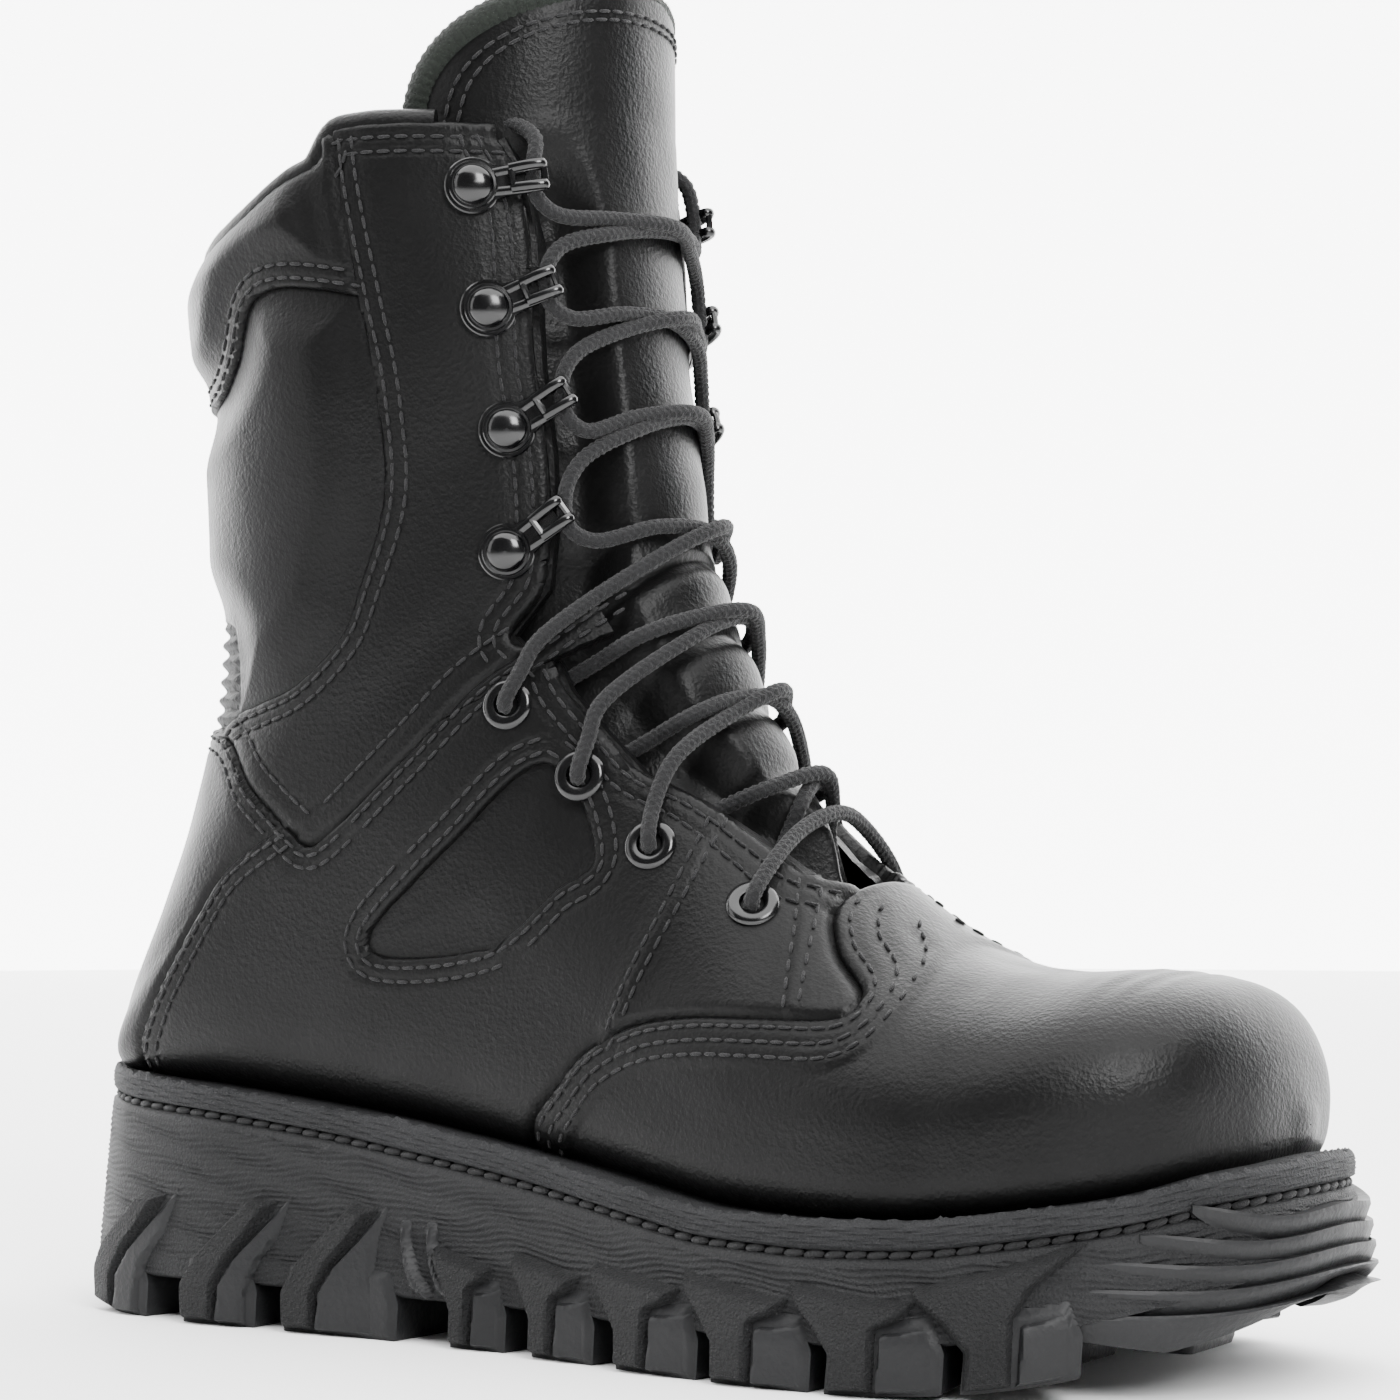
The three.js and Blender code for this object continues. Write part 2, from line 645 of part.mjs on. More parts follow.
const FOOTBED_HALF = 0.135;
const FOOTBED_TOP = CAVITY + 5 * FIT;
const footbedHalf = (u) => FOOTBED_HALF - 0.04 * ramp(8.5, 11, u);
const footbedEdges = (u) => [0.5 - footbedHalf(u), 0.5 + footbedHalf(u)];
const footbedRows = [1.5, ...steps(2, 11, 9)];
const footbedFoot = FOOTBED_TOP + FOOTBED;
add("footbed", patch(footbedRows, 6, footbedEdges, () => FOOTBED_TOP, () => footbedFoot), FOAM);

// ---------- the sole ----------
const PLATE_TOP = 4 * FIT;
const MIDSOLE_TOP = PLATE_TOP + PLATE + FIT;
const MIDSOLE_FOOT = MIDSOLE_TOP + MIDSOLE;
const FLANGE_TOP = WELT_DEPTH + 2 * STITCH_R + 1; // the midsole's edge under the stitches
const OUTSOLE_TOP = MIDSOLE_FOOT + FIT;
const SOLE_STRETCH = 0.0115; // share of the length that a millimetre of flare adds
const SOLE_ENDS = SOLE.length - 1;

const MIDDLE_ROWS = steps(3, SOLE_ENDS - 3, SOLE_ENDS - 6);
const SOLE_ROWS = [0, 0.5, 1, 1.5, 2, ...MIDDLE_ROWS, ...steps(SOLE_ENDS - 2.5, SOLE_ENDS, 5)];

function solePoint(t, share, out, z) {
  const [x, outer, inner] = rowAt(SOLE, t);
  const grown = Math.max(inner - outer + 2 * out, 3);
  const y = (inner + outer) / 2 + grown * (share - 0.5);
  const px = x * (1 + out * SOLE_STRETCH);
  return new THREE.Vector3(px, y, z(px, t));
}
// A layer of the sole between two heights, standing `topOut` and `footOut` out from the welt.
function soleLayer(topOut, footOut, top, foot, rows = SOLE_ROWS) {
  const grid = (out, z) => rows.map((t) => steps(0, 1, 2).map((share) => solePoint(t, share, out, z)));
  return slab(grid(topOut, top), grid(footOut, foot));
}
const below = (depth) => (x) => seat(x) - depth;
const ground = (t) => rowAt(SOLE, t)[3];

const LIP_UNDER = PLATE_TOP - FIT; // the lip of the welt lies over the plate and closes on the leather
const LIP_WIDTH = 14;
const weltRing = soleLayer(0, 0.4, below(LIP_UNDER - 0.2), below(WELT_DEPTH));
const weltHole = soleLayer(-WELT_WIDTH, -WELT_WIDTH, below(-9), below(9));
const lip = soleLayer(-0.4, 0, below(-WELT_LIP), below(LIP_UNDER));
const lipHole = soleLayer(-LIP_WIDTH, -LIP_WIDTH, below(-9), below(9));
const footForm = sock(-FIT, CAVITY);
const weltLip = largest(lip.subtract(lipHole).subtract(footForm));
add("welt", largest(weltRing.subtract(weltHole).add(weltLip)), RUBBER);

const CORE_IN = -(WELT_WIDTH + FIT);
add("puncture_plate", soleLayer(CORE_IN, CORE_IN, below(PLATE_TOP), below(PLATE_TOP + PLATE)), FABRIC);
const SHANK_HALF = 8;
const SHANK_ENDS = [-92, 14];
function shankBlock(half, ends, top, foot) {
  const row = (x, depth) => steps(-half, half, 2).map((y) => new THREE.Vector3(x, y, seat(x) - depth));
  const grid = (depth) => steps(ends[0], ends[1], 8).map((x) => row(x, depth));
  return slab(grid(top), grid(foot));
}
const SHANK_TOP = MIDSOLE_FOOT - SHANK - FIT;
add("shank", shankBlock(SHANK_HALF, SHANK_ENDS, SHANK_TOP, SHANK_TOP + SHANK), STEEL);
const pocketEnds = [SHANK_ENDS[0] - FIT, SHANK_ENDS[1] + FIT];
const pocket = shankBlock(SHANK_HALF + FIT, pocketEnds, SHANK_TOP - FIT, MIDSOLE_FOOT + 1);
const midsoleCore = soleLayer(CORE_IN, CORE_IN, below(MIDSOLE_TOP), below(MIDSOLE_FOOT));
const MIDSOLE_OUT = 0.4; // how far the midsole stands out from the welt
const midsoleFlange = soleLayer(MIDSOLE_OUT, MIDSOLE_OUT, below(FLANGE_TOP), below(MIDSOLE_FOOT));
add("midsole", largest(midsoleCore.add(midsoleFlange).subtract(pocket)), RUBBER);

const stitchDepth = WELT_DEPTH + STITCH_R + 0.5;
const stitchAt = (t, share) => solePoint(t, share, -STITCH_R - 0.6, below(stitchDepth));
const stitchPath = [
  ...SOLE_ROWS.filter((t) => t >= 6).map((t) => stitchAt(t, 1)),
  ...SOLE_ROWS.slice().reverse().map((t) => stitchAt(t, 0)),
  ...SOLE_ROWS.filter((t) => t <= 5).map((t) => stitchAt(t, 1)),
];
add("welt_stitching", solid(tube(stitchPath, STITCH_R, 6)), FABRIC);

// A solid through a stack of four-cornered levels, from the lowest up.
function stack(levels) {
  const faces = [0, 2, 1, 0, 3, 2];
  levels.slice(1).forEach((_, k) => {
    for (let i = 0; i < 4; i++) {
      const [a, b] = [k * 4 + i, k * 4 + ((i + 1) % 4)];
      faces.push(a, b, b + 4, a, b + 4, a + 4);
    }
  });
  const top = (levels.length - 1) * 4;
  faces.push(top, top + 1, top + 2, top, top + 2, top + 3);
  return solid(geometryOf(levels.flat(), faces));
}
function level(x0, x1, y0, y1, z) {
  return [
    [x0, y0],
    [x1, y0],
    [x1, y1],
    [x0, y1],
  ].map(([x, y]) => new THREE.Vector3(x, y, z));
}
const soleT = (x) => valueAt(SOLE.map(([at], t) => [at, t]), x);
function edgeAt(x, sign) {
  const [, outer, inner] = rowAt(SOLE, soleT(x / (1 + SIDEWALL_FLARE * SOLE_STRETCH)));
  return sign > 0 ? outer - SIDEWALL_FLARE : inner + SIDEWALL_FLARE;
}
const LUG_INTO = 24; // how far a side lug runs in under the sole
const FIN = 2.4; // how far it stands out of the sidewall
function sideLug(x, length, sign) {
  const lift = ground(soleT(x + length / 2));
  const edge = edgeAt(x + length / 2, sign);
  const at = (shift, shorter, out, inTo, z) => {
    const y0 = edge - sign * out;
    const y1 = edge + sign * inTo;
    return level(x + shift, x + shift + length - shorter, Math.min(y0, y1), Math.max(y0, y1), z);
  };
  return stack([
    at(0, 0, -1, LUG_INTO, lift),
    at(LUG_SLANT * 0.5, 1, FIN, LUG_INTO, lift + TREAD),
    at(LUG_SLANT, length * 0.3, 0.4, 8, lift + TREAD + 9),
  ]);
}
const LUGS = [
  [-130, LUG_LENGTH],
  [-100, LUG_LENGTH],
  [-72, 1.6 * LUG_LENGTH],
  [-26, 0.75 * LUG_LENGTH],
  [-3, 0.9 * LUG_LENGTH],
  [21, 1.1 * LUG_LENGTH],
  [46, 1.15 * LUG_LENGTH],
  [72, 1.2 * LUG_LENGTH],
  [99, 1.1 * LUG_LENGTH],
];
const MIDDLE_LUGS = [-108, -80, -54, -12, 12, 37, 62, 88, 114];
const SCALES = 4; // overlapping scales round the toe
const treadFloor = (x, t) => ground(t) + TREAD;
const scaleLayer = (k) => {
  const out = SIDEWALL_FLARE + 0.6 * (SCALES - k);
  const rows = steps(SOLE_ENDS - 3.4 + 0.35 * (SCALES - k), SOLE_ENDS, 8);
  const height = (part) => (x, t) => ground(t) + ((seat(x) - OUTSOLE_TOP - ground(t)) * part) / (SCALES + 1);
  return soleLayer(out - 2, out, height(k + 1), height(k - 0.25), rows);
};
const lugs = SIDES.flatMap(({ sign }) => LUGS.map(([x, length]) => sideLug(x, length, sign)));
const midLugs = MIDDLE_LUGS.map((x) =>
  stack([
    level(x, x + 13, -11, 11, ground(soleT(x + 6))),
    level(x - 1, x + 14, -13, 13, ground(soleT(x + 6)) + TREAD + 2),
  ]),
);
const heelLug = stack([
  level(-143, -128, -22, 21, ground(1.5)),
  level(-150, -126, -26, 25, ground(1) + TREAD + 2),
]);
const treadSlab = soleLayer(0.4, SIDEWALL_FLARE, below(OUTSOLE_TOP), treadFloor);
const scales = steps(0, SCALES - 1, SCALES - 1).map(scaleLayer);
const aboveOutsole = soleLayer(MIDSOLE_OUT + FIT, MIDSOLE_OUT + FIT, below(-40), below(OUTSOLE_TOP));
const tread = join([treadSlab, heelLug, ...lugs, ...midLugs, ...scales]);
add("outsole", largest(tread.subtract(aboveOutsole)), RUBBER);

// ---------- hooks, rivets and eyelets ----------
const INSIDE = MIDDLE + STIFFENER; // depth of the facing's inner face
function rail(from, to, y, z) {
  const length = to - from;
  return solid(new THREE.BoxGeometry(length, 2 * PRONG_R, 2 * PRONG_R).translate(from + length / 2, y, z));
}
function hookBody() {
  const top = FIT + HOOK_PLATE;
  const button = lathe(
    [
      [0, -INSIDE + 0.2],
      [STEM_R, -INSIDE + 0.2],
      [STEM_R, FIT],
      [BUTTON_R + 0.3, FIT],
      [BUTTON_R + 0.3, top],
      [BUTTON_R, top + 0.4],
      [BUTTON_R - 0.4, top + 0.6 * BUTTON_H],
      [0.55 * BUTTON_R, top + 0.9 * BUTTON_H],
      [0, top + BUTTON_H],
    ],
    TURNS,
  );
  const neck = new THREE.BoxGeometry(6, 6.4, HOOK_PLATE).translate(BUTTON_R + 1.5, 0, FIT + HOOK_PLATE / 2);
  const rails = [-1, 1].map((side) => rail(3, HOOK_REACH, side * PRONG_SPREAD, top + 0.5));
  const tip = new THREE.BoxGeometry(1.6, 2 * PRONG_SPREAD + 1.2, 1.3);
  tip.translate(HOOK_REACH - 0.8, 0, top + 0.5);
  return join([solid(button), solid(neck), ...rails, solid(tip)]);
}
function rivetCap() {
  return lathe(
    [
      [0, -INSIDE - 3 * FIT - 0.9],
      [RIVET_R - 0.6, -INSIDE - 3 * FIT - 0.9],
      [RIVET_R, -INSIDE - 3 * FIT - 0.4],
      [RIVET_R, -INSIDE - 3 * FIT],
      [0, -INSIDE - 3 * FIT],
    ],
    TURNS,
  );
}
function eyeletRing() {
  const barrel = EYELET_BORE_R + EYELET_WALL;
  return lathe(
    [
      [EYELET_BORE_R, -INSIDE - 1.5],
      [barrel + 0.7, -INSIDE - 1.5],
      [barrel + 0.7, -INSIDE - 3 * FIT],
      [barrel, -INSIDE - 3 * FIT],
      [barrel, FIT],
      [EYELET_R, FIT],
      [EYELET_R - 0.4, FIT + 0.8],
      [barrel, FIT + 1.2],
      [EYELET_BORE_R, FIT + 0.7],
      [EYELET_BORE_R, -INSIDE - 1.5],
    ],
    TURNS,
  );
}
for (const { name, sign } of SIDES) {
  HOOKS.forEach(([u, v], i) => {
    const hook = geometryFrom(hookBody());
    add(`hook_${name}_${i + 1}`, placed(hook, u, sign * v), BLACK_METAL);
    add(`rivet_cap_${name}_${i + 1}`, placed(rivetCap(), u, sign * v), BLACK_METAL);
  });
  EYELETS.forEach(([u, v], i) => {
    add(`eyelet_${name}_${i + 1}`, placed(eyeletRing(), u, sign * v), BLACK_METAL);
  });
}

// ---------- the lace ----------
// Its route is a list of [rib, distance round, height above the form]; it runs through the
// eyelets, crosses over the tongue, goes round behind each hook and is tucked in behind the collar.
const EDGE_CLEAR = 0.036;
const CROSS_HALF = 0.048; // on its way across, the lace bears on the tongue here
const UNDER = -(INSIDE + 3.5); // behind the lace facing
const THROUGH = [-(INSIDE + 1.7), 2.6]; // the straight stretch through an eyelet
const OVER = 2.4;
const throatAt = (u) => valueAt(THROAT_HALF, u);
function outOfEyelet([u, v], side) {
  return [
    [u - 0.1, side * (v - 0.006), UNDER - 0.3],
    [u, side * v, THROUGH[0]],
    [u, side * v, THROUGH[1]],
    [u + 0.22, side * (v - 0.016), OVER + 0.8],
    [u + 0.45, side * (throatAt(u + 0.4) - 0.002), OVER],
  ];
}
function underFacing(u, side) {
  return [
    [u - 0.3, side * (throatAt(u) - EDGE_CLEAR - 0.012), 0.7],
    [u - 0.15, side * (throatAt(u) - 0.022), -5.2],
    [u, side * (throatAt(u) + 0.012), UNDER],
  ];
}
function roundHook([u, v], side, reach = 11.8 / 330) {
  return [
    [u - 0.75, side * (v - reach - 0.012), 0.6],
    [u - 0.3, side * (v - reach), 0.4],
    [u + 0.3, side * (v - reach), 0.4],
    [u + 0.75, side * (v - reach - 0.012), 0.6],
  ];
}
function strand(side, lift) {
  const [e1, e2, e3, e4] = EYELETS;
  const [h1, h2, h3, h4] = HOOKS;
  const cross = (from, to, toSide) => [
    [from + 0.27 * (to - from), -toSide * CROSS_HALF, 1],
    [(from + to) / 2, 0, lift],
    [from + 0.73 * (to - from), toSide * CROSS_HALF, 1],
  ];
  return [
    [7.1, side * 0.05, 2.2],
    [e4[0] + 0.1, side * (e4[1] - 0.02), OVER + 0.8],
    [e4[0], side * e4[1], THROUGH[1]],
    [e4[0], side * e4[1], THROUGH[0]],
    [e4[0] + 0.1, side * (e4[1] - 0.003), UNDER - 0.3],
    [e4[0] + 0.4, side * (throatAt(7.2) - 0.022), -5.2],
    [e4[0] + 0.6, side * (throatAt(7.4) - EDGE_CLEAR - 0.012), 0.7],
    [7.56, 0, lift],
    ...underFacing(e3[0] - 0.05, -side),
    ...outOfEyelet(e3, -side),
    ...cross(8.45, 8.8, side),
    ...underFacing(e2[0] - 0.02, side),
    ...outOfEyelet(e2, side),
    ...cross(9.55, 10.1, -side),
    ...underFacing(e1[0] - 0.02, -side),
    ...outOfEyelet(e1, -side),
    ...cross(10.85, 12.05, side),
    ...roundHook(h4, side),
    ...cross(13.55, 14.05, -side),
    ...roundHook(h3, -side),
    ...cross(15.55, 16.35, side),
    ...roundHook(h2, side),
    ...cross(17.85, 18.55, -side),
    ...roundHook(h1, -side).slice(0, 3),
    [20.2, -side * 0.1, 0],
    [20.6, -side * 0.112, -4.5],
    [20.3, -side * 0.15, UNDER + 0.2],
    [19.6, -side * 0.17, UNDER + 0.2],
    [17.5, -side * 0.17, UNDER + 0.3],
    [15.2, -side * 0.17, UNDER + 0.3],
  ];
}
function place([u, v, height]) {
  const out = new THREE.Vector3().setFromMatrixColumn(frameAt(u, v || 0.001), 2);
  return form(u, v).addScaledVector(out, height);
}
const lacePoints = [
  ...strand(1, 0.9).map(place).reverse(),
  place([7.15, 0, 2.6]),
  ...strand(-1, 4.6).map(place),
];
add("lace", solid(tube(lacePoints, LACE_R, 6)), LACE);

// The boot's frame: the middle of its outline stands over the origin, and its lugs on the floor.
const extent = new THREE.Box3().setFromObject(boot);
const centre = extent.getCenter(new THREE.Vector3());
boot.children.forEach((mesh) => mesh.geometry.translate(-centre.x, -centre.y, -extent.min.z));

export default boot;
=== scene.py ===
import bpy
import math
import numpy as np
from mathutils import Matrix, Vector


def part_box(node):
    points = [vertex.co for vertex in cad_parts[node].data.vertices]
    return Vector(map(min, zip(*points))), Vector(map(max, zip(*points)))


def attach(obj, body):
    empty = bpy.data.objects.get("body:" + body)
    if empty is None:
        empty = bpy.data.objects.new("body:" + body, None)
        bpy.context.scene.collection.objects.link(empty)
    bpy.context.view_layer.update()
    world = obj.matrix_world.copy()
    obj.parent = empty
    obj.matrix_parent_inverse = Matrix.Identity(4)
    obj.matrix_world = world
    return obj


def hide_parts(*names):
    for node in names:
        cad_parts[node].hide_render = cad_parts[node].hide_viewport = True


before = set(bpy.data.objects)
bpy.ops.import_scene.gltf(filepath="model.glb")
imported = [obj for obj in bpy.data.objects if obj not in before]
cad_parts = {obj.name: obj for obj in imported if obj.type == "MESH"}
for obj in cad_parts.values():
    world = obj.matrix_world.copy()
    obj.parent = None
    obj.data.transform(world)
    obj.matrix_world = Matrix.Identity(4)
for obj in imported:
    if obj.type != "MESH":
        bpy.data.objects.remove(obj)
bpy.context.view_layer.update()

MM = 0.001
SHANK_MIDDLE_X = -39.0  # the shank's middle in the boot's own frame ties it to the CAD frame
shank_low, shank_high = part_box("shank")
SHIFT = np.array([
    (shank_low[0] + shank_high[0]) / 2 - SHANK_MIDDLE_X * MM,
    (shank_low[1] + shank_high[1]) / 2,
    0.0,
])

# ---------- the form of the boot, as in the CAD source ----------
# [back x, back z, front x, front z, middle y, outer y, inner y, belly, top roundness, sole roundness]
RIBS = np.array([
    [142.5, 46, 143.5, 55, 8, 2, 15, 0.45, 0.9, 0.9],
    [139, 41, 141, 67, 8, -15, 29, 0.4, 0.85, 0.75],
    [129.5, 38, 133, 76.5, 6, -34, 39, 0.38, 0.85, 0.55],
    [112, 35, 116, 80, 4, -47, 47, 0.36, 0.85, 0.45],
    [90, 32, 94, 79.5, 2, -53, 50, 0.34, 0.9, 0.4],
    [66, 31, 74, 84, 1, -54, 49, 0.34, 0.95, 0.4],
    [38, 32, 57, 95, 0, -51, 44, 0.34, 1, 0.4],
    [8, 37, 42, 109, 0, -46, 38, 0.36, 1, 0.4],
    [-24, 42, 29, 127, 0, -42, 36, 0.42, 1, 0.4],
    [-60, 47, 20, 144, 0, -41, 37, 0.46, 1, 0.4],
    [-98, 51, 14, 158, 0, -43, 40, 0.5, 1, 0.4],
    [-133, 53, 9, 170, 0, -44, 42, 0.52, 1, 0.46],
    [-140, 60, 6, 181, 0, -44, 43, 0.52, 1, 0.7],
    [-134, 80, 3, 192, 0, -45, 44, 0.52, 1, 0.9],
    [-126, 100, 1, 203, 0, -45, 45, 0.52, 1, 0.95],
    [-118, 126, -1, 214, 0, -46, 46, 0.5, 1, 1],
    [-114, 150, -2, 223, 0, -48, 48, 0.48, 1, 1],
    [-113, 174, -3, 232, 0, -50, 50, 0.46, 1, 1],
    [-114.5, 200, -4, 241, 0, -51, 51, 0.46, 1, 1],
    [-118, 226, -5, 250, 0, -52, 52, 0.46, 1, 1],
    [-118, 246, -5.5, 259, 0, -52, 52, 0.46, 1, 1],
    [-115, 262, -6, 268, 0, -51, 51, 0.46, 1, 1],
])
TOP_RIB = len(RIBS) - 1
RISE_PER_RIB = 13.0
NOSE_RIBS = 3.0
NOSE_CLOSE = 0.35  # the toe closes over this many ribs below rib 0
NOSE_BULGE = 0.8
TIP_Y = 8.5

# The welt's plan outline and the tread's underside: [x, outer y, inner y, tread z].
SOLE = np.array([
    [-146, -7, 7, 10],
    [-143, -18, 17, 6],
    [-136, -28, 27, 3],
    [-122, -38, 36, 0],
    [-100, -43, 41, 0],
    [-70, -43, 39, 0],
    [-40, -44, 37, 0],
    [-10, -46, 38, 0],
    [20, -52, 43, 0],
    [48, -57, 48, 0],
    [76, -58, 52, 0],
    [102, -54, 51, 2],
    [122, -44, 46, 6],
    [138.5, -30, 37, 11],
    [147, -13, 26, 16],
    [150, 2, 14, 20],
])


def row_at(rows, t):
    """Rows of a table at positions t, by a Catmull-Rom curve through them."""
    last = len(rows) - 1
    s = np.clip(t, 0, last)
    i = np.minimum(np.floor(s).astype(int), last - 1)
    f = (s - i)[..., None]
    a, b, c, d = (rows[np.clip(i + k, 0, last)] for k in (-1, 0, 1, 2))
    cubic = 3 * b - a - 3 * c + d
    return 0.5 * (2 * b + (c - a) * f + (2 * a - 5 * b + 4 * c - d) * f**2 + cubic * f**3)


def form(u, v, depth=0.0):
    """A point of the boot's form, depth below its surface. v is 0 at the front and 0.25 on the outer side."""
    u, v, depth = np.broadcast_arrays(np.asarray(u, float), np.asarray(v, float), np.asarray(depth, float))
    bx, bz, fx, fz, mid, outer, inner, belly, top_round, sole_round = np.moveaxis(row_at(RIBS, u), -1, 0)
    long = np.hypot(fx - bx, fz - bz)
    cut = np.minimum(depth, 0.32 * long)
    angle = 2 * np.pi * v
    c, s = np.cos(angle), np.sin(angle)
    power = np.where(c > 0, top_round, sole_round)
    share = np.abs(c) ** power
    along = np.where(c > 0, belly + (1 - belly) * share, belly * (1 - share))
    edge = np.where(s > 0, outer, inner)
    half = np.abs(edge - mid)
    width = np.maximum(half - depth, 0.35 * half)
    start = cut + along * (long - 2 * cut)
    nose = depth * np.maximum(0, 1 - u / NOSE_RIBS)
    rise = np.maximum(0, u - TOP_RIB) * RISE_PER_RIB
    x = bx + (fx - bx) / long * start - nose
    y = mid + np.sign(edge - mid) * width * np.abs(s) ** power
    z = bz + (fz - bz) / long * start + rise
    # Below rib 0 the sections shrink to the toe's tip.
    close = np.clip(-u / NOSE_CLOSE, 0, 1)
    shrink = np.sqrt(1 - close**2)
    level = (bx + fx) / 2 - nose
    x = np.where(close > 0, level + (x - level) * shrink + NOSE_BULGE * close**2, x)
    y = TIP_Y + (y - TIP_Y) * shrink
    z = np.where(close > 0, (bz + fz) / 2 + (z - (bz + fz) / 2) * shrink, z)
    y = np.where(close > 0, y, mid + np.sign(edge - mid) * width * np.abs(s) ** power)
    return np.stack([x, y, z], -1)


def unit(a):
    return a / np.maximum(np.linalg.norm(a, axis=-1, keepdims=True), 1e-9)


def axes_at(u, v):
    """Forward round the boot, upward and outward directions of the form."""
    step = 0.02
    up = form(u + step, v) - form(u - step, v)
    round_ = form(u, v + step / 4) - form(u, v - step / 4)
    out = unit(np.cross(up, round_))
    sign = np.where(np.asarray(v) < 0, -1.0, 1.0)[..., None]
    forward = unit(-round_ * sign)
    return forward, np.cross(out, forward), out


def raised(u, v, height, depth=0.0):
    """Points at a height above the form at a depth."""
    return form(u, v, depth) + axes_at(u, v)[2] * np.asarray(height)[..., None]


# ---------- seams, as side-view lines, as in the CAD source ----------
THROAT = [(-23, 275), (-23, 261), (-20, 254), (-17, 238), (-16, 210), (-14, 192), (-13, 177), (-14, 162),
          (-20, 152), (-17, 149), (-11, 147), (-7, 140), (1, 131), (10, 122), (22, 116), (36, 106), (44, 100),
          (54, 97)]
VAMP = [(62, 112), (53, 96), (58, 85), (68, 76), (66, 71), (49, 71), (34, 71), (19, 69), (6, 63), (-2, 55),
        (-10, 46), (-18, 24)]
ANKLE = [(-140, 134), (-99, 132), (-84, 119), (-72, 109), (-64, 107), (-42, 125), (-27, 140), (-15, 149),
         (0, 162)]
COUNTER = [(-74, 110.5), (-90, 101), (-99, 90), (-107, 79), (-114, 69), (-121, 57), (-124, 30)]
SHAFT = [(-58, 275), (-56, 256), (-50, 225), (-47, 210), (-46, 197), (-46, 186), (-48, 176), (-53, 163),
         (-58, 152), (-70, 142), (-82, 138), (-90, 136), (-98, 132)]
ARCH = [(-135, 206), (-100, 206), (-87, 213), (-80, 226), (-69, 229), (-50.5, 226)]
FLEX = [(-135, 157), (-98, 157), (-92, 150), (-90, 136)]
PANEL = [(-9, 124), (-30, 107), (-51, 88), (-47, 82), (-20, 85), (-4, 97), (4, 104), (-9, 124)]
COLLAR = [(-10, 263), (-23, 263), (-56, 263), (-60, 256), (-70, 252), (-91, 243), (-140, 232)]
STRAP = [(27, 112), (26, 105), (23, 92), (16, 74), (14, 68)]
SHORT = [(44, 103), (48, 94), (51, 87), (55, 75), (56, 70)]


PER_LEG = 6  # steps between two points of a seam


def smooth(line):
    """A line drawn as a curve through its points."""
    rows = np.array(line, float)
    closed = np.allclose(rows[0], rows[-1])
    t = np.linspace(0, len(rows) - 1, (len(rows) - 1) * PER_LEG + 1)
    if not closed:
        return row_at(rows, t)
    wrapped = np.vstack([rows[-3:-1], rows, rows[1:3]])
    return row_at(wrapped, t + 2)


LINES = {name: smooth(line) for name, line in dict(
    throat=THROAT, vamp=VAMP, ankle=ANKLE, counter=COUNTER, shaft=SHAFT, arch=ARCH, flex=FLEX, panel=PANEL,
    collar=COLLAR, strap=STRAP, short=SHORT).items()}
THROAT_REGION = np.array(THROAT + [(64, 116), (120, 116), (120, 330), (-23, 330)], float)
# The side of these seams is found from a closed outline.
REGIONS = {"throat": THROAT_REGION, "panel": LINES["panel"]}


def inside(outline, x, z):
    """Whether side-view points lie inside a closed outline."""
    odd = np.zeros(x.shape, bool)
    for (ax, az), (bx, bz) in zip(outline, np.roll(outline, -1, 0)):
        if az != bz:
            odd ^= ((az > z) != (bz > z)) & (x < ax + (z - az) * (bx - ax) / (bz - az))
    return odd


def gap_to(line, x, z):
    """Distance from a polyline, and 1 on the left of its direction or -1 on the right."""
    a, b = line[:-1], line[1:]
    leg = b - a
    length = np.maximum((leg**2).sum(1), 1e-9)
    gaps, sides = np.empty(x.shape), np.empty(x.shape)
    for start in range(0, x.size, 20000):
        part = slice(start, start + 20000)
        dx = x[part, None] - a[:, 0]
        dz = z[part, None] - a[:, 1]
        t = np.clip((dx * leg[:, 0] + dz * leg[:, 1]) / length, 0, 1)
        gap = np.hypot(dx - t * leg[:, 0], dz - t * leg[:, 1])
        nearest = gap.argmin(1)
        pick = np.arange(len(nearest))
        side = leg[nearest, 0] * dz[pick, nearest] - leg[nearest, 1] * dx[pick, nearest]
        gaps[part] = gap[pick, nearest]
        sides[part] = np.where(side < 0, -1, 1)
    return gaps, sides


def signed(name, x, z):
    """Distance from a seam in the side view, positive on the left of its direction or inside its region."""
    gap, side = gap_to(LINES[name], x, z)
    if name in REGIONS:
        side = np.where(inside(REGIONS[name], x, z), 1, -1)
    return gap * side


def ramp(low, high, t):
    s = np.clip((t - low) / (high - low), 0, 1)
    return s * s * (3 - 2 * s)


def rolled(d, radius=1.0):
    """How far a cut edge rounds down, from its distance d inside the edge."""
    s = 1 - np.clip(d / radius, 0, 1)
    return -radius * (1 - np.sqrt(np.maximum(1 - s * s, 0)))


GROOVE_DEPTH, GROOVE_HALF = 0.4, 0.75  # the dip that a stitch row pulls into leather


def groove(d):
    return -GROOVE_DEPTH * np.exp(-((d / GROOVE_HALF) ** 2))


def ripple(p, scale, seed=0):
    """Smooth unevenness between -1 and 1 from a few crossed waves."""
    total = np.zeros(p.shape[:-1])
    draw = np.random.default_rng(seed)
    for _ in range(6):
        direction = unit(draw.normal(size=3))
        total += np.sin((p @ direction) / scale * draw.uniform(0.7, 1.4) + draw.uniform(0, 6.28))
    return total / 6


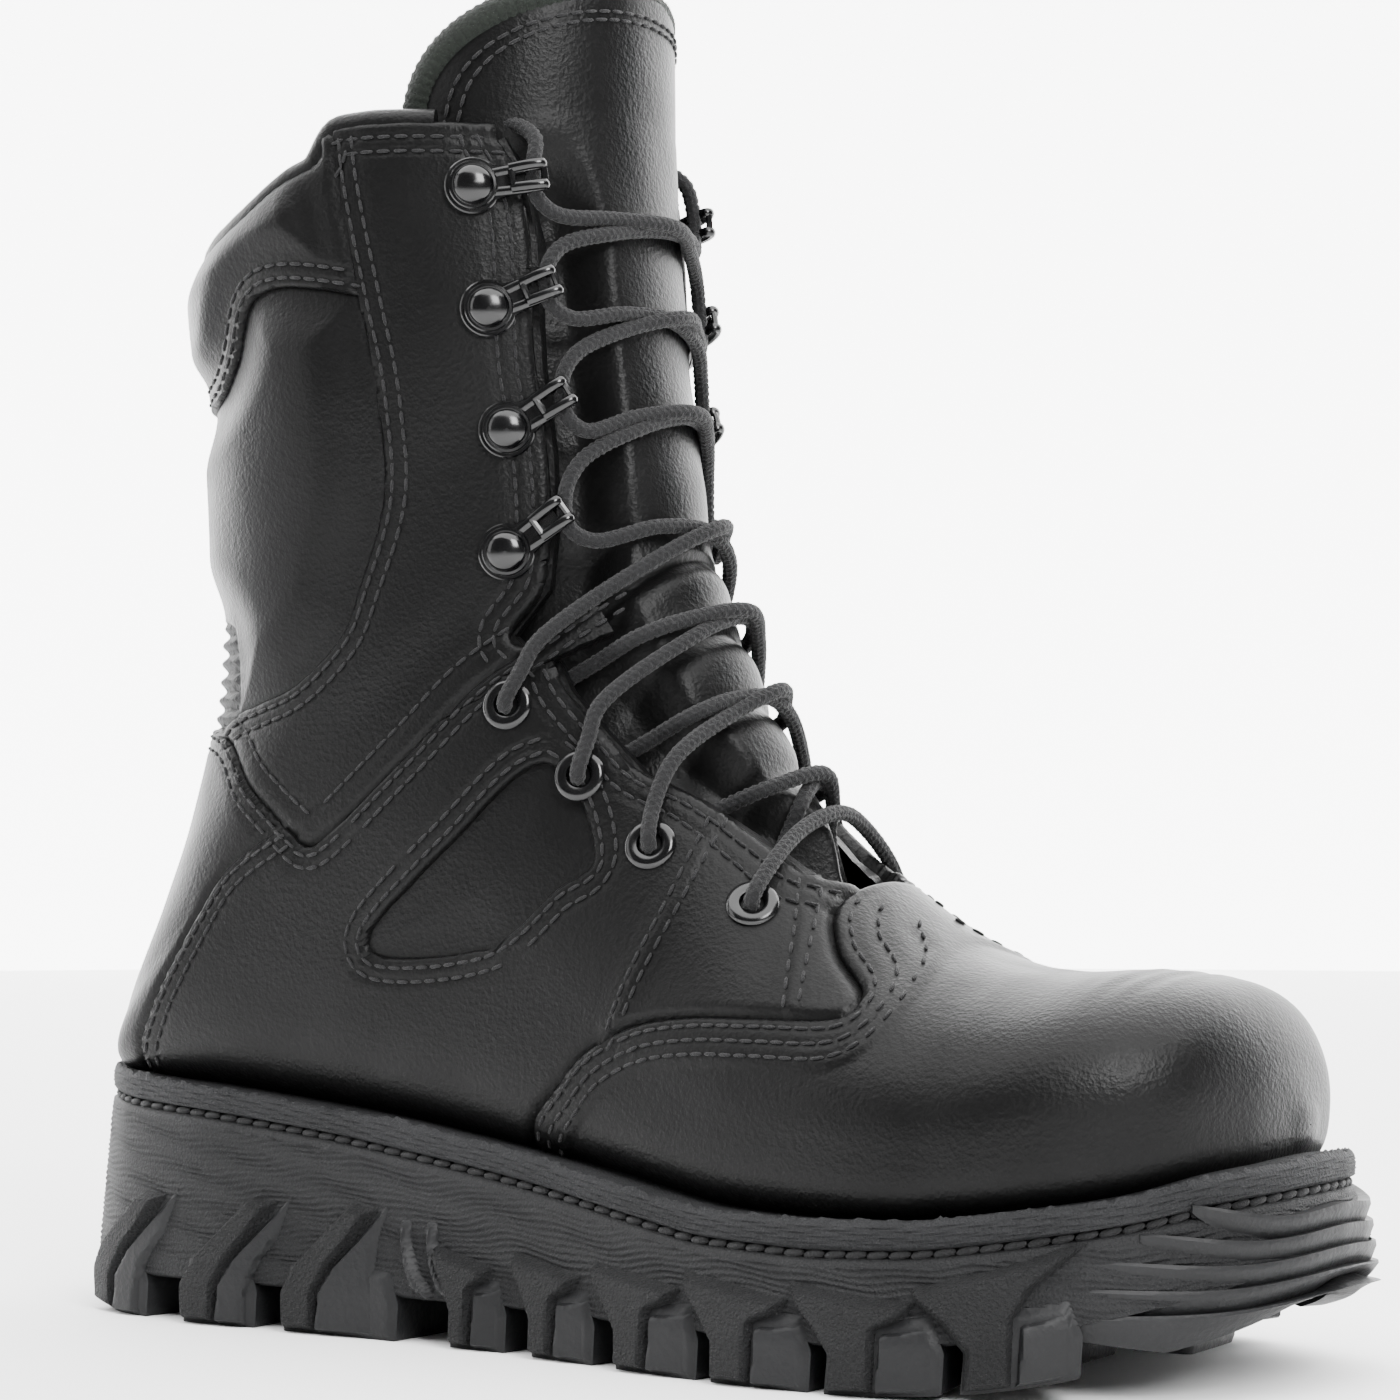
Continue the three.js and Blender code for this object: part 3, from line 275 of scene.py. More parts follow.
# ---------- meshes ----------
def mesh_object(name, points, faces, materials, sharp=55):
    mesh = bpy.data.meshes.new(name)
    place = np.asarray(points, float) * MM + SHIFT
    faces = [np.asarray(f) for f in faces if len(f)]
    corners = np.concatenate([f.ravel() for f in faces]).astype(np.int32)
    sizes = np.concatenate([np.full(len(f), f.shape[1]) for f in faces])
    starts = np.concatenate([[0], np.cumsum(sizes)[:-1]]).astype(np.int32)
    mesh.vertices.add(len(place))
    mesh.vertices.foreach_set("co", place.ravel())
    mesh.loops.add(len(corners))
    mesh.loops.foreach_set("vertex_index", corners)
    mesh.polygons.add(len(sizes))
    mesh.polygons.foreach_set("loop_start", starts)
    mesh.polygons.foreach_set("use_smooth", np.ones(len(sizes), bool))
    mesh.update(calc_edges=True)
    mesh.validate()
    mesh.set_sharp_from_angle(angle=math.radians(sharp))
    mesh.materials.append(materials)
    obj = bpy.data.objects.new(name, mesh)
    bpy.context.scene.collection.objects.link(obj)
    return obj


def finish_piece(obj, body="boot", replaces=()):
    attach(obj, body)
    if replaces:
        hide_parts(*replaces)
    return obj


def grid_faces(rows, columns, wrap=False):
    i, j = np.meshgrid(np.arange(rows - 1), np.arange(columns if wrap else columns - 1), indexing="ij")
    k = (j + 1) % columns
    below, above = i * columns, (i + 1) * columns
    return np.stack([below + j, above + j, above + k, below + k], -1).reshape(-1, 4)


def halved(quads):
    """Each four-cornered face as two triangles."""
    return np.vstack([quads[:, [0, 1, 2]], quads[:, [0, 2, 3]]])


def clip(coords, triangles, field):
    """Cuts triangles along the line where the field is zero and keeps its positive side."""
    inside = field > 0
    count = inside[triangles].sum(1)
    pieces = [triangles[count == 3]]
    points = coords
    for odd_inside, number in ((True, 1), (False, 2)):
        cut = triangles[count == number]
        if not len(cut):
            continue
        lead = (inside[cut] == odd_inside).argmax(1)
        pick = np.arange(len(cut))
        a, b, c = (cut[pick, (lead + k) % 3] for k in range(3))
        new = []
        for other in (b, c):
            low, high = np.minimum(a, other), np.maximum(a, other)
            new.append(low.astype(np.int64) * len(coords) + high)
        keys, index = np.unique(np.concatenate(new), return_inverse=True)
        low, high = keys // len(coords), keys % len(coords)
        t = (field[low] / (field[low] - field[high]))[:, None]
        base = len(points)
        points = np.vstack([points, coords[low] + (coords[high] - coords[low]) * t])
        p, q = base + index[: len(cut)], base + index[len(cut):]
        if odd_inside:
            pieces.append(np.stack([a, p, q], -1))
        else:
            pieces.append(np.stack([p, b, c], -1))
            pieces.append(np.stack([p, c, q], -1))
    faces = np.vstack(pieces)
    # Vertices that both kinds of cut made on one edge are merged.
    _, first, inverse = np.unique(np.round(points, 7), axis=0, return_index=True, return_inverse=True)
    faces = inverse.ravel()[faces]
    good = (faces[:, 0] != faces[:, 1]) & (faces[:, 1] != faces[:, 2]) & (faces[:, 2] != faces[:, 0])
    faces = faces[good]
    used, faces = np.unique(faces, return_inverse=True)
    return points[first][used], faces.reshape(-1, 3)


def rim_edges(triangles):
    """Directed edges that only one triangle has."""
    edges = np.vstack([triangles[:, [0, 1]], triangles[:, [1, 2]], triangles[:, [2, 0]]]).astype(np.int64)
    size = edges.max() + 1
    forward, backward = edges[:, 0] * size + edges[:, 1], edges[:, 1] * size + edges[:, 0]
    return edges[~np.isin(forward, backward)]


def shell(coords, triangles, outer, inner):
    """A closed skin between an outer and an inner set of points over the same triangles."""
    count = len(coords)
    rim = rim_edges(triangles)
    walls = np.stack([rim[:, 1], rim[:, 0], rim[:, 0] + count, rim[:, 1] + count], -1)
    return np.vstack([outer, inner]), [triangles, triangles[:, ::-1] + count, walls]


ROW_STEP = 1.25
AROUND = 250
CORNER_COLUMNS = 42


def chart_rows():
    """Places along the ribs at an even step, measured where the ribs are furthest apart."""
    u = np.linspace(0, TOP_RIB, 2000)
    back, front = form(u, 0.5), form(u, 0.0)
    legs = np.maximum(*(np.linalg.norm(np.diff(line, axis=0), axis=1) for line in (back, front)))
    total = np.concatenate([[0], np.cumsum(legs)])
    nose = -NOSE_CLOSE * np.sqrt(1 - np.linspace(0.03, 1, 9)[:-1] ** 2)
    return np.concatenate([nose, np.interp(np.arange(0, total[-1], ROW_STEP), total, u)])


def chart_columns():
    """Places round a rib, closer together beside the sole's sharp corners."""
    bend = np.arcsin(np.linspace(0, 1, CORNER_COLUMNS) ** (1 / 0.42)) / (2 * np.pi)
    quarter = np.concatenate([np.arange(0, 0.5, 1 / AROUND), 0.25 + bend, 0.5 - bend])
    places = np.unique(np.concatenate([quarter, -quarter, 1 - quarter, quarter - 1]).round(6))
    return places[np.concatenate([[True], np.diff(places) > 4e-4])]


ROWS_AT, COLUMNS_AT = chart_rows(), chart_columns()


def between(places, low, high):
    """The places strictly inside a range, with its two ends."""
    margin = 3e-4
    return np.concatenate([[low], places[(places > low + margin) & (places < high - margin)], [high]])


def chart(u_range, v_range):
    """A fine grid of chart coordinates, with its triangles."""
    us, vs = between(ROWS_AT, *u_range), between(COLUMNS_AT, *v_range)
    u, v = np.meshgrid(us, vs, indexing="ij")
    return np.stack([u.ravel(), v.ravel()], -1), halved(grid_faces(len(us), len(vs)))


PANEL_THICK = 2.0


def panel(name, u_range, v_range, field, height, material):
    """A leather panel: the part of the form where the field is positive, raised by a height."""
    coords, triangles = chart(u_range, v_range)
    at = form(coords[:, 0], coords[:, 1])
    coords, triangles = clip(coords, triangles, field(at[:, 0], at[:, 2]))
    u, v = coords.T
    at = form(u, v)
    outer = raised(u, v, height(at[:, 0], at[:, 2], at))
    inner = form(u, v, PANEL_THICK)
    points, faces = shell(coords, triangles, outer, inner)
    return mesh_object(name, points, faces, material)


# ---------- materials ----------
def new_material(name, color, roughness, metallic=0.0, coat=0.0, sheen=0.0, specular=0.5):
    material = bpy.data.materials.new(name)
    material.use_nodes = True
    shader = material.node_tree.nodes["Principled BSDF"]
    shader.inputs["Base Color"].default_value = (*color, 1)
    shader.inputs["Roughness"].default_value = roughness
    shader.inputs["Metallic"].default_value = metallic
    shader.inputs["Coat Weight"].default_value = coat
    shader.inputs["Coat Roughness"].default_value = 0.12
    shader.inputs["Sheen Weight"].default_value = sheen
    shader.inputs["Specular IOR Level"].default_value = specular
    return material, material.node_tree, shader


CLOUD_LOW, CLOUD_HIGH = 0.35, 0.65  # the part of a texture's range that drives a colour or a roughness


def texture(tree, kind, scale, detail=3.0):
    place = tree.nodes.new("ShaderNodeTexCoord")
    node = tree.nodes.new(kind)
    node.inputs["Scale"].default_value = scale
    if "Detail" in node.inputs:
        node.inputs["Detail"].default_value = detail
    tree.links.new(place.outputs["Object"], node.inputs["Vector"])
    return node


def bump(tree, shader, output, distance, strength=1.0, below=None):
    node = tree.nodes.new("ShaderNodeBump")
    node.inputs["Distance"].default_value = distance
    node.inputs["Strength"].default_value = strength
    tree.links.new(output, node.inputs["Height"])
    if below:
        tree.links.new(below.outputs["Normal"], node.inputs["Normal"])
    tree.links.new(node.outputs["Normal"], shader.inputs["Normal"])
    return node


def vary(tree, output, socket, low, high):
    """A texture drives a socket between two values."""
    node = tree.nodes.new("ShaderNodeMapRange")
    node.inputs["From Min"].default_value = CLOUD_LOW
    node.inputs["From Max"].default_value = CLOUD_HIGH
    node.inputs["To Min"].default_value = low
    node.inputs["To Max"].default_value = high
    tree.links.new(output, node.inputs["Value"])
    tree.links.new(node.outputs["Result"], socket)


def tint(tree, output, socket, low, high):
    """A texture drives a colour between two values."""
    node = tree.nodes.new("ShaderNodeValToRGB")
    node.color_ramp.elements[0].position = CLOUD_LOW
    node.color_ramp.elements[0].color = (*low, 1)
    node.color_ramp.elements[1].position = CLOUD_HIGH
    node.color_ramp.elements[1].color = (*high, 1)
    tree.links.new(output, node.inputs["Fac"])
    tree.links.new(node.outputs["Color"], socket)


def leather_material(name="leather", grey=0.0028, roughness=(0.33, 0.47)):
    material, tree, shader = new_material(name, (grey, grey, grey * 1.02), 0.45, specular=0.13)
    clouds = texture(tree, "ShaderNodeTexNoise", 28.0, 4.0)
    tint(tree, clouds.outputs["Fac"], shader.inputs["Base Color"],
         (grey * 0.8, grey * 0.8, grey * 0.82), (grey * 1.3, grey * 1.3, grey * 1.32))
    vary(tree, clouds.outputs["Fac"], shader.inputs["Roughness"], roughness[1], roughness[0])
    pores = texture(tree, "ShaderNodeTexVoronoi", 950.0)
    first = bump(tree, shader, pores.outputs["Distance"], 0.00018, 0.45)
    grain = texture(tree, "ShaderNodeTexNoise", 620.0, 5.0)
    bump(tree, shader, grain.outputs["Fac"], 0.0003, 0.35, below=first)
    return material


def rubber_material(name, grey=0.0085, stipple=1500.0, strength=0.7, roughness=0.62):
    material, tree, shader = new_material(name, (grey, grey * 1.02, grey * 1.08), roughness, specular=0.22)
    clouds = texture(tree, "ShaderNodeTexNoise", 40.0, 3.0)
    tint(tree, clouds.outputs["Fac"], shader.inputs["Base Color"],
         (grey * 0.85, grey * 0.87, grey * 0.93), (grey * 1.2, grey * 1.22, grey * 1.3))
    grit = texture(tree, "ShaderNodeTexVoronoi", stipple)
    bump(tree, shader, grit.outputs["Distance"], 0.0004, strength)
    return material


def fabric_material(name, color, scale=900.0, sheen=0.3, roughness=0.9):
    material, tree, shader = new_material(name, color, roughness, sheen=sheen, specular=0.25)
    shader.inputs["Sheen Roughness"].default_value = 0.5
    weave = texture(tree, "ShaderNodeTexNoise", scale, 3.0)
    bump(tree, shader, weave.outputs["Fac"], 0.0005, 0.8)
    dark = tuple(0.7 * c for c in color)
    light = tuple(1.5 * c for c in color)
    tint(tree, weave.outputs["Fac"], shader.inputs["Base Color"], dark, light)
    return material


def metal_material(name, color, roughness, metallic, coat):
    material, tree, shader = new_material(name, color, roughness, metallic, coat)
    scuffs = texture(tree, "ShaderNodeTexNoise", 160.0, 5.0)
    vary(tree, scuffs.outputs["Fac"], shader.inputs["Roughness"], roughness * 0.8, roughness * 1.4)
    bump(tree, shader, scuffs.outputs["Fac"], 0.00005, 0.4)
    return material


LEATHER = leather_material()
TONGUE_LEATHER = leather_material("tongue_leather", 0.0028, (0.32, 0.44))
LINING_CLOTH = fabric_material("lining_cloth", (0.009, 0.0095, 0.01))
BINDING_CLOTH = fabric_material("binding_cloth", (0.005, 0.007, 0.005), 1400.0, 0.12)
THREAD = fabric_material("thread", (0.005, 0.005, 0.0055), 2600.0, 0.08, 0.7)
LACE_CLOTH = fabric_material("lace_cloth", (0.0045, 0.0045, 0.005), 2600.0, 0.1, 0.75)
SOLE_RUBBER = rubber_material("sole_rubber")
WELT_RUBBER = rubber_material("welt_rubber", 0.014, 1300.0, 0.9, 0.7)
SMOOTH_RUBBER = rubber_material("smooth_rubber", 0.0095, 600.0, 0.25, 0.5)
STIPPLE_RUBBER = rubber_material("stipple_rubber", 0.008, 1300.0, 1.6, 0.7)
FLEX_RUBBER = rubber_material("flex_rubber", 0.006, 900.0, 0.4, 0.55)
BLACK_METAL = metal_material("black_metal", (0.0015, 0.0015, 0.0017), 0.17, 0.0, 0.0)
STEEL = metal_material("steel", (0.5, 0.51, 0.52), 0.35, 0.95, 0.0)
BOARD = fabric_material("board", (0.08, 0.063, 0.04), 300.0, 0.0)
FOAM = fabric_material("foam", (0.016, 0.018, 0.02), 700.0, 0.2)

# ---------- leather panels ----------
LAP = 4.0  # how far a lower panel runs on under the one above it
SHAFT_LIFT, QUARTER_LIFT, VAMP_LIFT, COLLAR_LIFT, COUNTER_LIFT = 0.9, 1.7, 1.9, 1.4, 1.0
PAD_RISE = 3.4  # how far the padded panels swell


def field_of(*terms):
    """The least of several side-view distances: each term is (seam, sign, offset)."""
    def field(x, z):
        return np.min([sign * signed(name, x, z) + offset for name, sign, offset in terms], axis=0)
    return field


def wear(at, size=0.14, scale=9.0, seed=1):
    return size * ripple(at, scale, seed) + 0.4 * size * ripple(at, scale / 3.5, seed + 1)


# Stitch rows of each panel: seam -> signed distances from it.
ROWS = {
    "shaft_panel": {"shaft": (2.0, 5.0), "collar": (3.4, 6.6), "throat": (-3.2, -6.2), "ankle": (6.5,)},
    "quarter": {"ankle": (-1.8, -4.6), "counter": (1.8, 4.6), "panel": (-2.0, -5.0), "throat": (-2.2, -5.2),
                "strap": (-1.5, 1.5), "short": (-1.5, 1.5)},
    "collar_pad": {"arch": (2.0, 5.0)},
    "heel_counter_cover": {"ankle": (-1.8, -4.6)},
    "vamp": {"vamp": (1.8, 4.6, 7.4)},
}


def sewn(kind, x, z):
    """The dips that the stitch rows of a panel pull into it, and the swell between them."""
    total = np.zeros(x.shape)
    for name, offsets in ROWS[kind].items():
        d = signed(name, x, z)
        total += sum(groove(d - at) for at in offsets)
    return total


def shaft_height(x, z, at):
    edge = np.minimum(np.minimum(signed("shaft", x, z), signed("collar", x, z)), -signed("throat", x, z))
    lap = signed("ankle", x, z)
    h = SHAFT_LIFT + rolled(edge, 1.2) + wear(at, 0.2, 12.0, 3)
    return h + sewn("shaft_panel", x, z) - 1.3 * ramp(2.0, -0.5, lap)


def quarter_height(x, z, at):
    ankle, counter, hole = signed("ankle", x, z), signed("counter", x, z), signed("panel", x, z)
    throat, vamp = signed("throat", x, z), signed("vamp", x, z)
    edge = np.minimum.reduce([-ankle, counter, -hole, -throat])
    ridges = sum(0.7 * np.exp(-((signed(name, x, z) / 2.6) ** 2)) for name in ("strap", "short"))
    h = QUARTER_LIFT + rolled(edge, 1.2) + ridges + wear(at, 0.18, 13.0, 5)
    return h + sewn("quarter", x, z) - 1.9 * ramp(-2.2, 0.3, vamp)


def panel_height(x, z, at):
    return -0.2 + wear(at, 0.15, 8.0, 8) + 0.7 * ramp(2.0, 14.0, signed("panel", x, z))


def vamp_height(x, z, at):
    d = signed("vamp", x, z)
    base = VAMP_LIFT - 0.9 * ramp(8.2, 9.6, d) + rolled(d, 1.2)
    dent = -0.5 * np.exp(-(((x - 88 + 0.12 * (z - 60)) / 5.0) ** 2)) * ramp(95, 60, z)
    nicks = -0.25 * np.exp(-(((x - 118) / 7.0) ** 2 + ((z - 79) / 3.0) ** 2)) * (1 + np.sin(at[..., 0] * 1.1))
    beside = ramp(9, 16, np.abs(at[..., 1]))
    return base + sewn("vamp", x, z) * beside + wear(at, 0.22, 15.0, 11) + dent + nicks


def calf_height(x, z, at):
    d = np.minimum.reduce([-signed("shaft", x, z), -signed("arch", x, z), signed("flex", x, z)])
    return 0.1 - 0.9 * ramp(0.6, -1.0, d) + PAD_RISE * ramp(0, 15, d) + wear(at, 0.25, 12.0, 13)


def collar_height(x, z, at):
    arch, top, side = signed("arch", x, z), signed("collar", x, z), -signed("shaft", x, z)
    d = np.minimum(arch, side)
    h = COLLAR_LIFT + rolled(arch, 1.2) - 1.3 * ramp(1.0, -1.0, side) + sewn("collar_pad", x, z)
    swell = 0.8 * PAD_RISE * ramp(5.5, 14, d) * ramp(0, 9, top)
    return h + swell + 2.2 * rolled(top, 4.0) / 4.0 + wear(at, 0.2, 9.0, 17)


def flex_height(x, z, at):
    ribs = 0.9 * np.sin(2 * np.pi * z / 4.2)
    return -0.3 + ribs * ramp(0, 2, -signed("flex", x, z))


def counter_height(x, z, at):
    ankle, counter = signed("ankle", x, z), signed("counter", x, z)
    h = COUNTER_LIFT + rolled(-ankle, 1.2) + wear(at, 0.2, 12.0, 19)
    return h + sewn("heel_counter_cover", x, z) - 1.2 * ramp(-2.2, 0.3, counter)


OUTER, INNER_SIDE, BACK, ALL_ROUND = (0.0, 0.5), (-0.5, 0.0), (0.1, 0.9), (-0.5, 0.5)
SIDES = (("outer", 1, OUTER), ("inner", -1, INNER_SIDE))
FIELDS = {
    "shaft_panel": field_of(("shaft", 1, 0), ("ankle", 1, LAP), ("collar", 1, 0), ("throat", -1, 0)),
    "quarter": field_of(("ankle", -1, 0), ("counter", 1, 0), ("vamp", -1, LAP), ("panel", -1, 0),
                        ("throat", -1, 0)),
    "ankle_panel": field_of(("panel", 1, LAP)),
    "vamp": field_of(("vamp", 1, 0)),
    "calf_pad": field_of(("shaft", -1, LAP), ("arch", -1, LAP), ("flex", 1, 0)),
    "collar_pad": field_of(("arch", 1, 0), ("shaft", -1, LAP), ("collar", 1, 0)),
    "achilles_flex_panel": field_of(("flex", -1, LAP), ("ankle", 1, LAP), ("shaft", -1, LAP)),
    "heel_counter_cover": field_of(("ankle", -1, 0), ("counter", -1, LAP)),
}
HEIGHTS = {
    "shaft_panel": shaft_height, "quarter": quarter_height, "ankle_panel": panel_height, "vamp": vamp_height,
    "calf_pad": calf_height, "collar_pad": collar_height, "achilles_flex_panel": flex_height,
    "heel_counter_cover": counter_height,
}
SPANS = {
    "shaft_panel": (9.5, 21.0), "quarter": (4.5, 13.8), "ankle_panel": (7.5, 11.0), "vamp": (-0.3499, 9.0),
    "calf_pad": (12.5, 20.0), "collar_pad": (16.0, 21.0), "achilles_flex_panel": (13.0, 17.0),
    "heel_counter_cover": (10.0, 16.0),
}


def leather_panels():
    for kind in ("shaft_panel", "quarter", "ankle_panel"):
        for side, _, v_range in SIDES:
            node = f"{kind}_{side}"
            obj = panel(node + "_skin", SPANS[kind], v_range, FIELDS[kind], HEIGHTS[kind], LEATHER)
            finish_piece(obj, replaces=[node])
    for kind, v_range in (("vamp", ALL_ROUND), ("calf_pad", BACK), ("collar_pad", BACK),
                          ("achilles_flex_panel", BACK), ("heel_counter_cover", BACK)):
        rubber = kind == "achilles_flex_panel"
        material = FLEX_RUBBER if rubber else LEATHER
        obj = panel(kind + "_skin", SPANS[kind], v_range, FIELDS[kind], HEIGHTS[kind], material)
        finish_piece(obj, replaces=[kind])


# ---------- stitches ----------
STITCH = 2.9
STITCH_GAP = 0.7
STITCH_R = 0.42
VAMP_ROW_TOP = 94.0  # the vamp's rows end here, beside the throat


def chart_of(x, z, side):
    """Chart coordinates of side-view points on one side, by Newton steps from the nearest grid point."""
    us, vs = ROWS_AT[(ROWS_AT > 0.3)][::3], COLUMNS_AT[(COLUMNS_AT > 0.01) & (COLUMNS_AT < 0.49)]
    grid_u, grid_v = (g.ravel() for g in np.meshgrid(us, vs, indexing="ij"))
    spots = form(grid_u, grid_v)[:, [0, 2]]
    target = np.stack([x, z], -1)
    nearest = np.array([((spots - p) ** 2).sum(1).argmin() for p in target])
    u, v = grid_u[nearest], grid_v[nearest]
    for _ in range(8):
        here = form(u, v)[:, [0, 2]]
        du = (form(u + 1e-3, v)[:, [0, 2]] - here) / 1e-3
        dv = (form(u, v + 1e-4)[:, [0, 2]] - here) / 1e-4
        miss = target - here
        det = du[:, 0] * dv[:, 1] - du[:, 1] * dv[:, 0]
        det = np.where(np.abs(det) < 1e-6, 1e-6, det)
        u = u + np.clip((miss[:, 0] * dv[:, 1] - miss[:, 1] * dv[:, 0]) / det, -0.5, 0.5)
        turn = (du[:, 0] * miss[:, 1] - du[:, 1] * miss[:, 0]) / det
        v = np.clip(v + np.clip(turn, -0.02, 0.02), 0.005, 0.495)
    miss = np.linalg.norm(form(u, v)[:, [0, 2]] - target, axis=1)
    return u, side * v, miss < 0.3


def offset_line(line, distance):
    """The line moved to its left by a distance."""
    direction = unit(np.gradient(line, axis=0))
    return line + np.stack([-direction[:, 1], direction[:, 0]], -1) * distance


def along_line(points, pitch):
    """Points at an even pitch along a polyline."""
    legs = np.linalg.norm(np.diff(points, axis=0), axis=1)
    total = np.concatenate([[0], np.cumsum(legs)])
    at = np.arange(pitch / 2, total[-1], pitch)
    return np.stack([np.interp(at, total, points[:, k]) for k in range(points.shape[1])], -1)


def capsule_mesh(centres, along, out, length, radius, sides=6):
    """Small capsules lying on a surface, in one mesh."""
    across = unit(np.cross(out, along))
    profile = [(-0.5, 0.35), (-0.36, 0.85), (0.0, 1.0), (0.36, 0.85), (0.5, 0.35)]
    rings = []
    for t, r in profile:
        for k in range(sides):
            a = 2 * np.pi * k / sides
            ring = centres + along * (t * length) + (across * np.cos(a) + out * np.sin(a)) * (r * radius)
            rings.append(ring)
    points = np.stack(rings, 1)
    one = grid_faces(len(profile), sides, wrap=True)
    count = len(profile) * sides
    base = (np.arange(len(centres)) * count)[:, None, None]
    faces = (one[None, :, ::-1] + base).reshape(-1, 4)
    caps = np.array([list(range(sides)), [count - 1 - k for k in range(sides)]])
    caps = (caps[None] + base).reshape(-1, sides)
    return points.reshape(-1, 3), [faces, caps]


def stitch_rows(kind, side_name, side):
    """Every stitch of a panel on one side, as one piece."""
    centres, directions, outs = [], [], []
    for name, offsets in ROWS[kind].items():
        for distance in offsets:
            line = offset_line(LINES[name], distance)
            spots = along_line(line, STITCH + STITCH_GAP)
            ahead = unit(np.gradient(spots, axis=0))
            clear = np.abs(signed(name, spots[:, 0], spots[:, 1]) - distance) < 0.9
            keep = clear & (FIELDS[kind](spots[:, 0], spots[:, 1]) > 1.0)
            if kind == "vamp":
                keep &= spots[:, 1] < VAMP_ROW_TOP
            if kind == "quarter":
                keep &= signed("vamp", spots[:, 0], spots[:, 1]) < -1.5
            if kind == "shaft_panel":
                keep &= signed("ankle", spots[:, 0], spots[:, 1]) > 1.5
            spots, ahead = spots[keep], ahead[keep]
            if not len(spots):
                continue
            u, v, found = chart_of(spots[:, 0], spots[:, 1], side)
            u2, v2, _ = chart_of(*(spots + ahead * 0.8).T, side)
            start = form(u, v)
            height = HEIGHTS[kind](start[:, 0], start[:, 2], start) + 0.28
            normal = axes_at(u, v)[2]
            direction = unit(form(u2, v2) - start)
            centres.append((start + normal * height[:, None])[found])
            directions.append(direction[found])
            outs.append(normal[found])
    points, faces = capsule_mesh(np.vstack(centres), np.vstack(directions), np.vstack(outs), STITCH, STITCH_R)
    finish_piece(mesh_object(f"{kind}_{side_name}_stitches", points, faces, THREAD))


def all_stitches():
    for kind in ROWS:
        for side_name, side, _ in SIDES:
            stitch_rows(kind, side_name, side)


# ---------- curves ----------
def spline(points, step):
    """A centripetal Catmull-Rom curve through points, sampled at about an even step."""
    p = np.asarray(points, float)
    p = np.vstack([2 * p[0] - p[1], p, 2 * p[-1] - p[-2]])
    out = []
    for a, b, c, d in zip(p[:-3], p[1:-2], p[2:-1], p[3:]):
        t1 = max(np.linalg.norm(b - a), 1e-6) ** 0.5
        t2 = t1 + max(np.linalg.norm(c - b), 1e-6) ** 0.5
        t3 = t2 + max(np.linalg.norm(d - c), 1e-6) ** 0.5
        t = np.linspace(t1, t2, 12, endpoint=False)[:, None]
        ab = (t1 - t) / t1 * a + t / t1 * b
        bc = (t2 - t) / (t2 - t1) * b + (t - t1) / (t2 - t1) * c
        cd = (t3 - t) / (t3 - t2) * c + (t - t2) / (t3 - t2) * d
        abc = (t2 - t) / t2 * ab + t / t2 * bc
        bcd = (t3 - t) / (t3 - t1) * bc + (t - t1) / (t3 - t1) * cd
        out.append((t2 - t) / (t2 - t1) * abc + (t - t1) / (t2 - t1) * bcd)
    out.append(p[-2][None])
    return along_line(np.vstack(out), step)


def frames_along(path, first=(0, 0, 1)):
    """Tangents and two crossing directions that don't twist along a path."""
    tangent = unit(np.gradient(path, axis=0))
    side = np.cross(tangent[0], first)
    side = unit(side) if np.linalg.norm(side) > 1e-3 else unit(np.cross(tangent[0], (1, 0, 0)))
    sides = [side]
    for t in tangent[1:]:
        side = unit(side - t * (side @ t))
        sides.append(side)
    sides = np.array(sides)
    return tangent, sides, np.cross(tangent, sides)


def swept(path, radius, sides=16, relief=None, flat=(1.0, 1.0), first=(0, 0, 1)):
    """A tube along a path. relief(angle, distance) scales its radius."""
    _, a, b = frames_along(path, first)
    angle = np.linspace(0, 2 * np.pi, sides, endpoint=False)
    distance = np.concatenate([[0], np.cumsum(np.linalg.norm(np.diff(path, axis=0), axis=1))])
    scale = np.ones((len(path), sides)) if relief is None else relief(angle[None], distance[:, None])
    r = radius * scale
    ring = (a[:, None] * (np.cos(angle) * flat[0])[None, :, None]
            + b[:, None] * (np.sin(angle) * flat[1])[None, :, None]) * r[..., None]
    points = (path[:, None] + ring).reshape(-1, 3)
    faces = grid_faces(len(path), sides, wrap=True)
    last = (len(path) - 1) * sides
    caps = np.array([list(range(sides)), [last + sides - 1 - k for k in range(sides)]])
    return points, [faces, caps]


TURNED_SIDES = 48


def turned(profile):
    """A turned solid: profile of (radius, height) from axis to axis or closed on itself."""
    profile = np.array(profile, float)
    angle = np.linspace(0, 2 * np.pi, TURNED_SIDES, endpoint=False)
    r, z = profile[:, 0][:, None], profile[:, 1][:, None]
    points = np.stack([r * np.cos(angle), r * np.sin(angle), z + 0 * angle], -1).reshape(-1, 3)
    return points, [grid_faces(len(profile), TURNED_SIDES, wrap=True)]


def together(parts):
    """Several (points, faces) as one."""
    points, faces, base = [], [], 0
    for p, f in parts:
        points.append(p)
        faces.extend(np.asarray(x) + base for x in f)
        base += len(p)
    return np.vstack(points), faces


def set_on(part, u, v):
    """A part made about the origin, with +Z outward and +X forward, set on the form."""
    points, faces = part
    forward, along, out = (a.reshape(3) for a in axes_at(np.array([u]), np.array([v])))
    basis = np.stack([forward, along, out])
    return points @ basis + form(np.array([u]), np.array([v])).reshape(3), faces


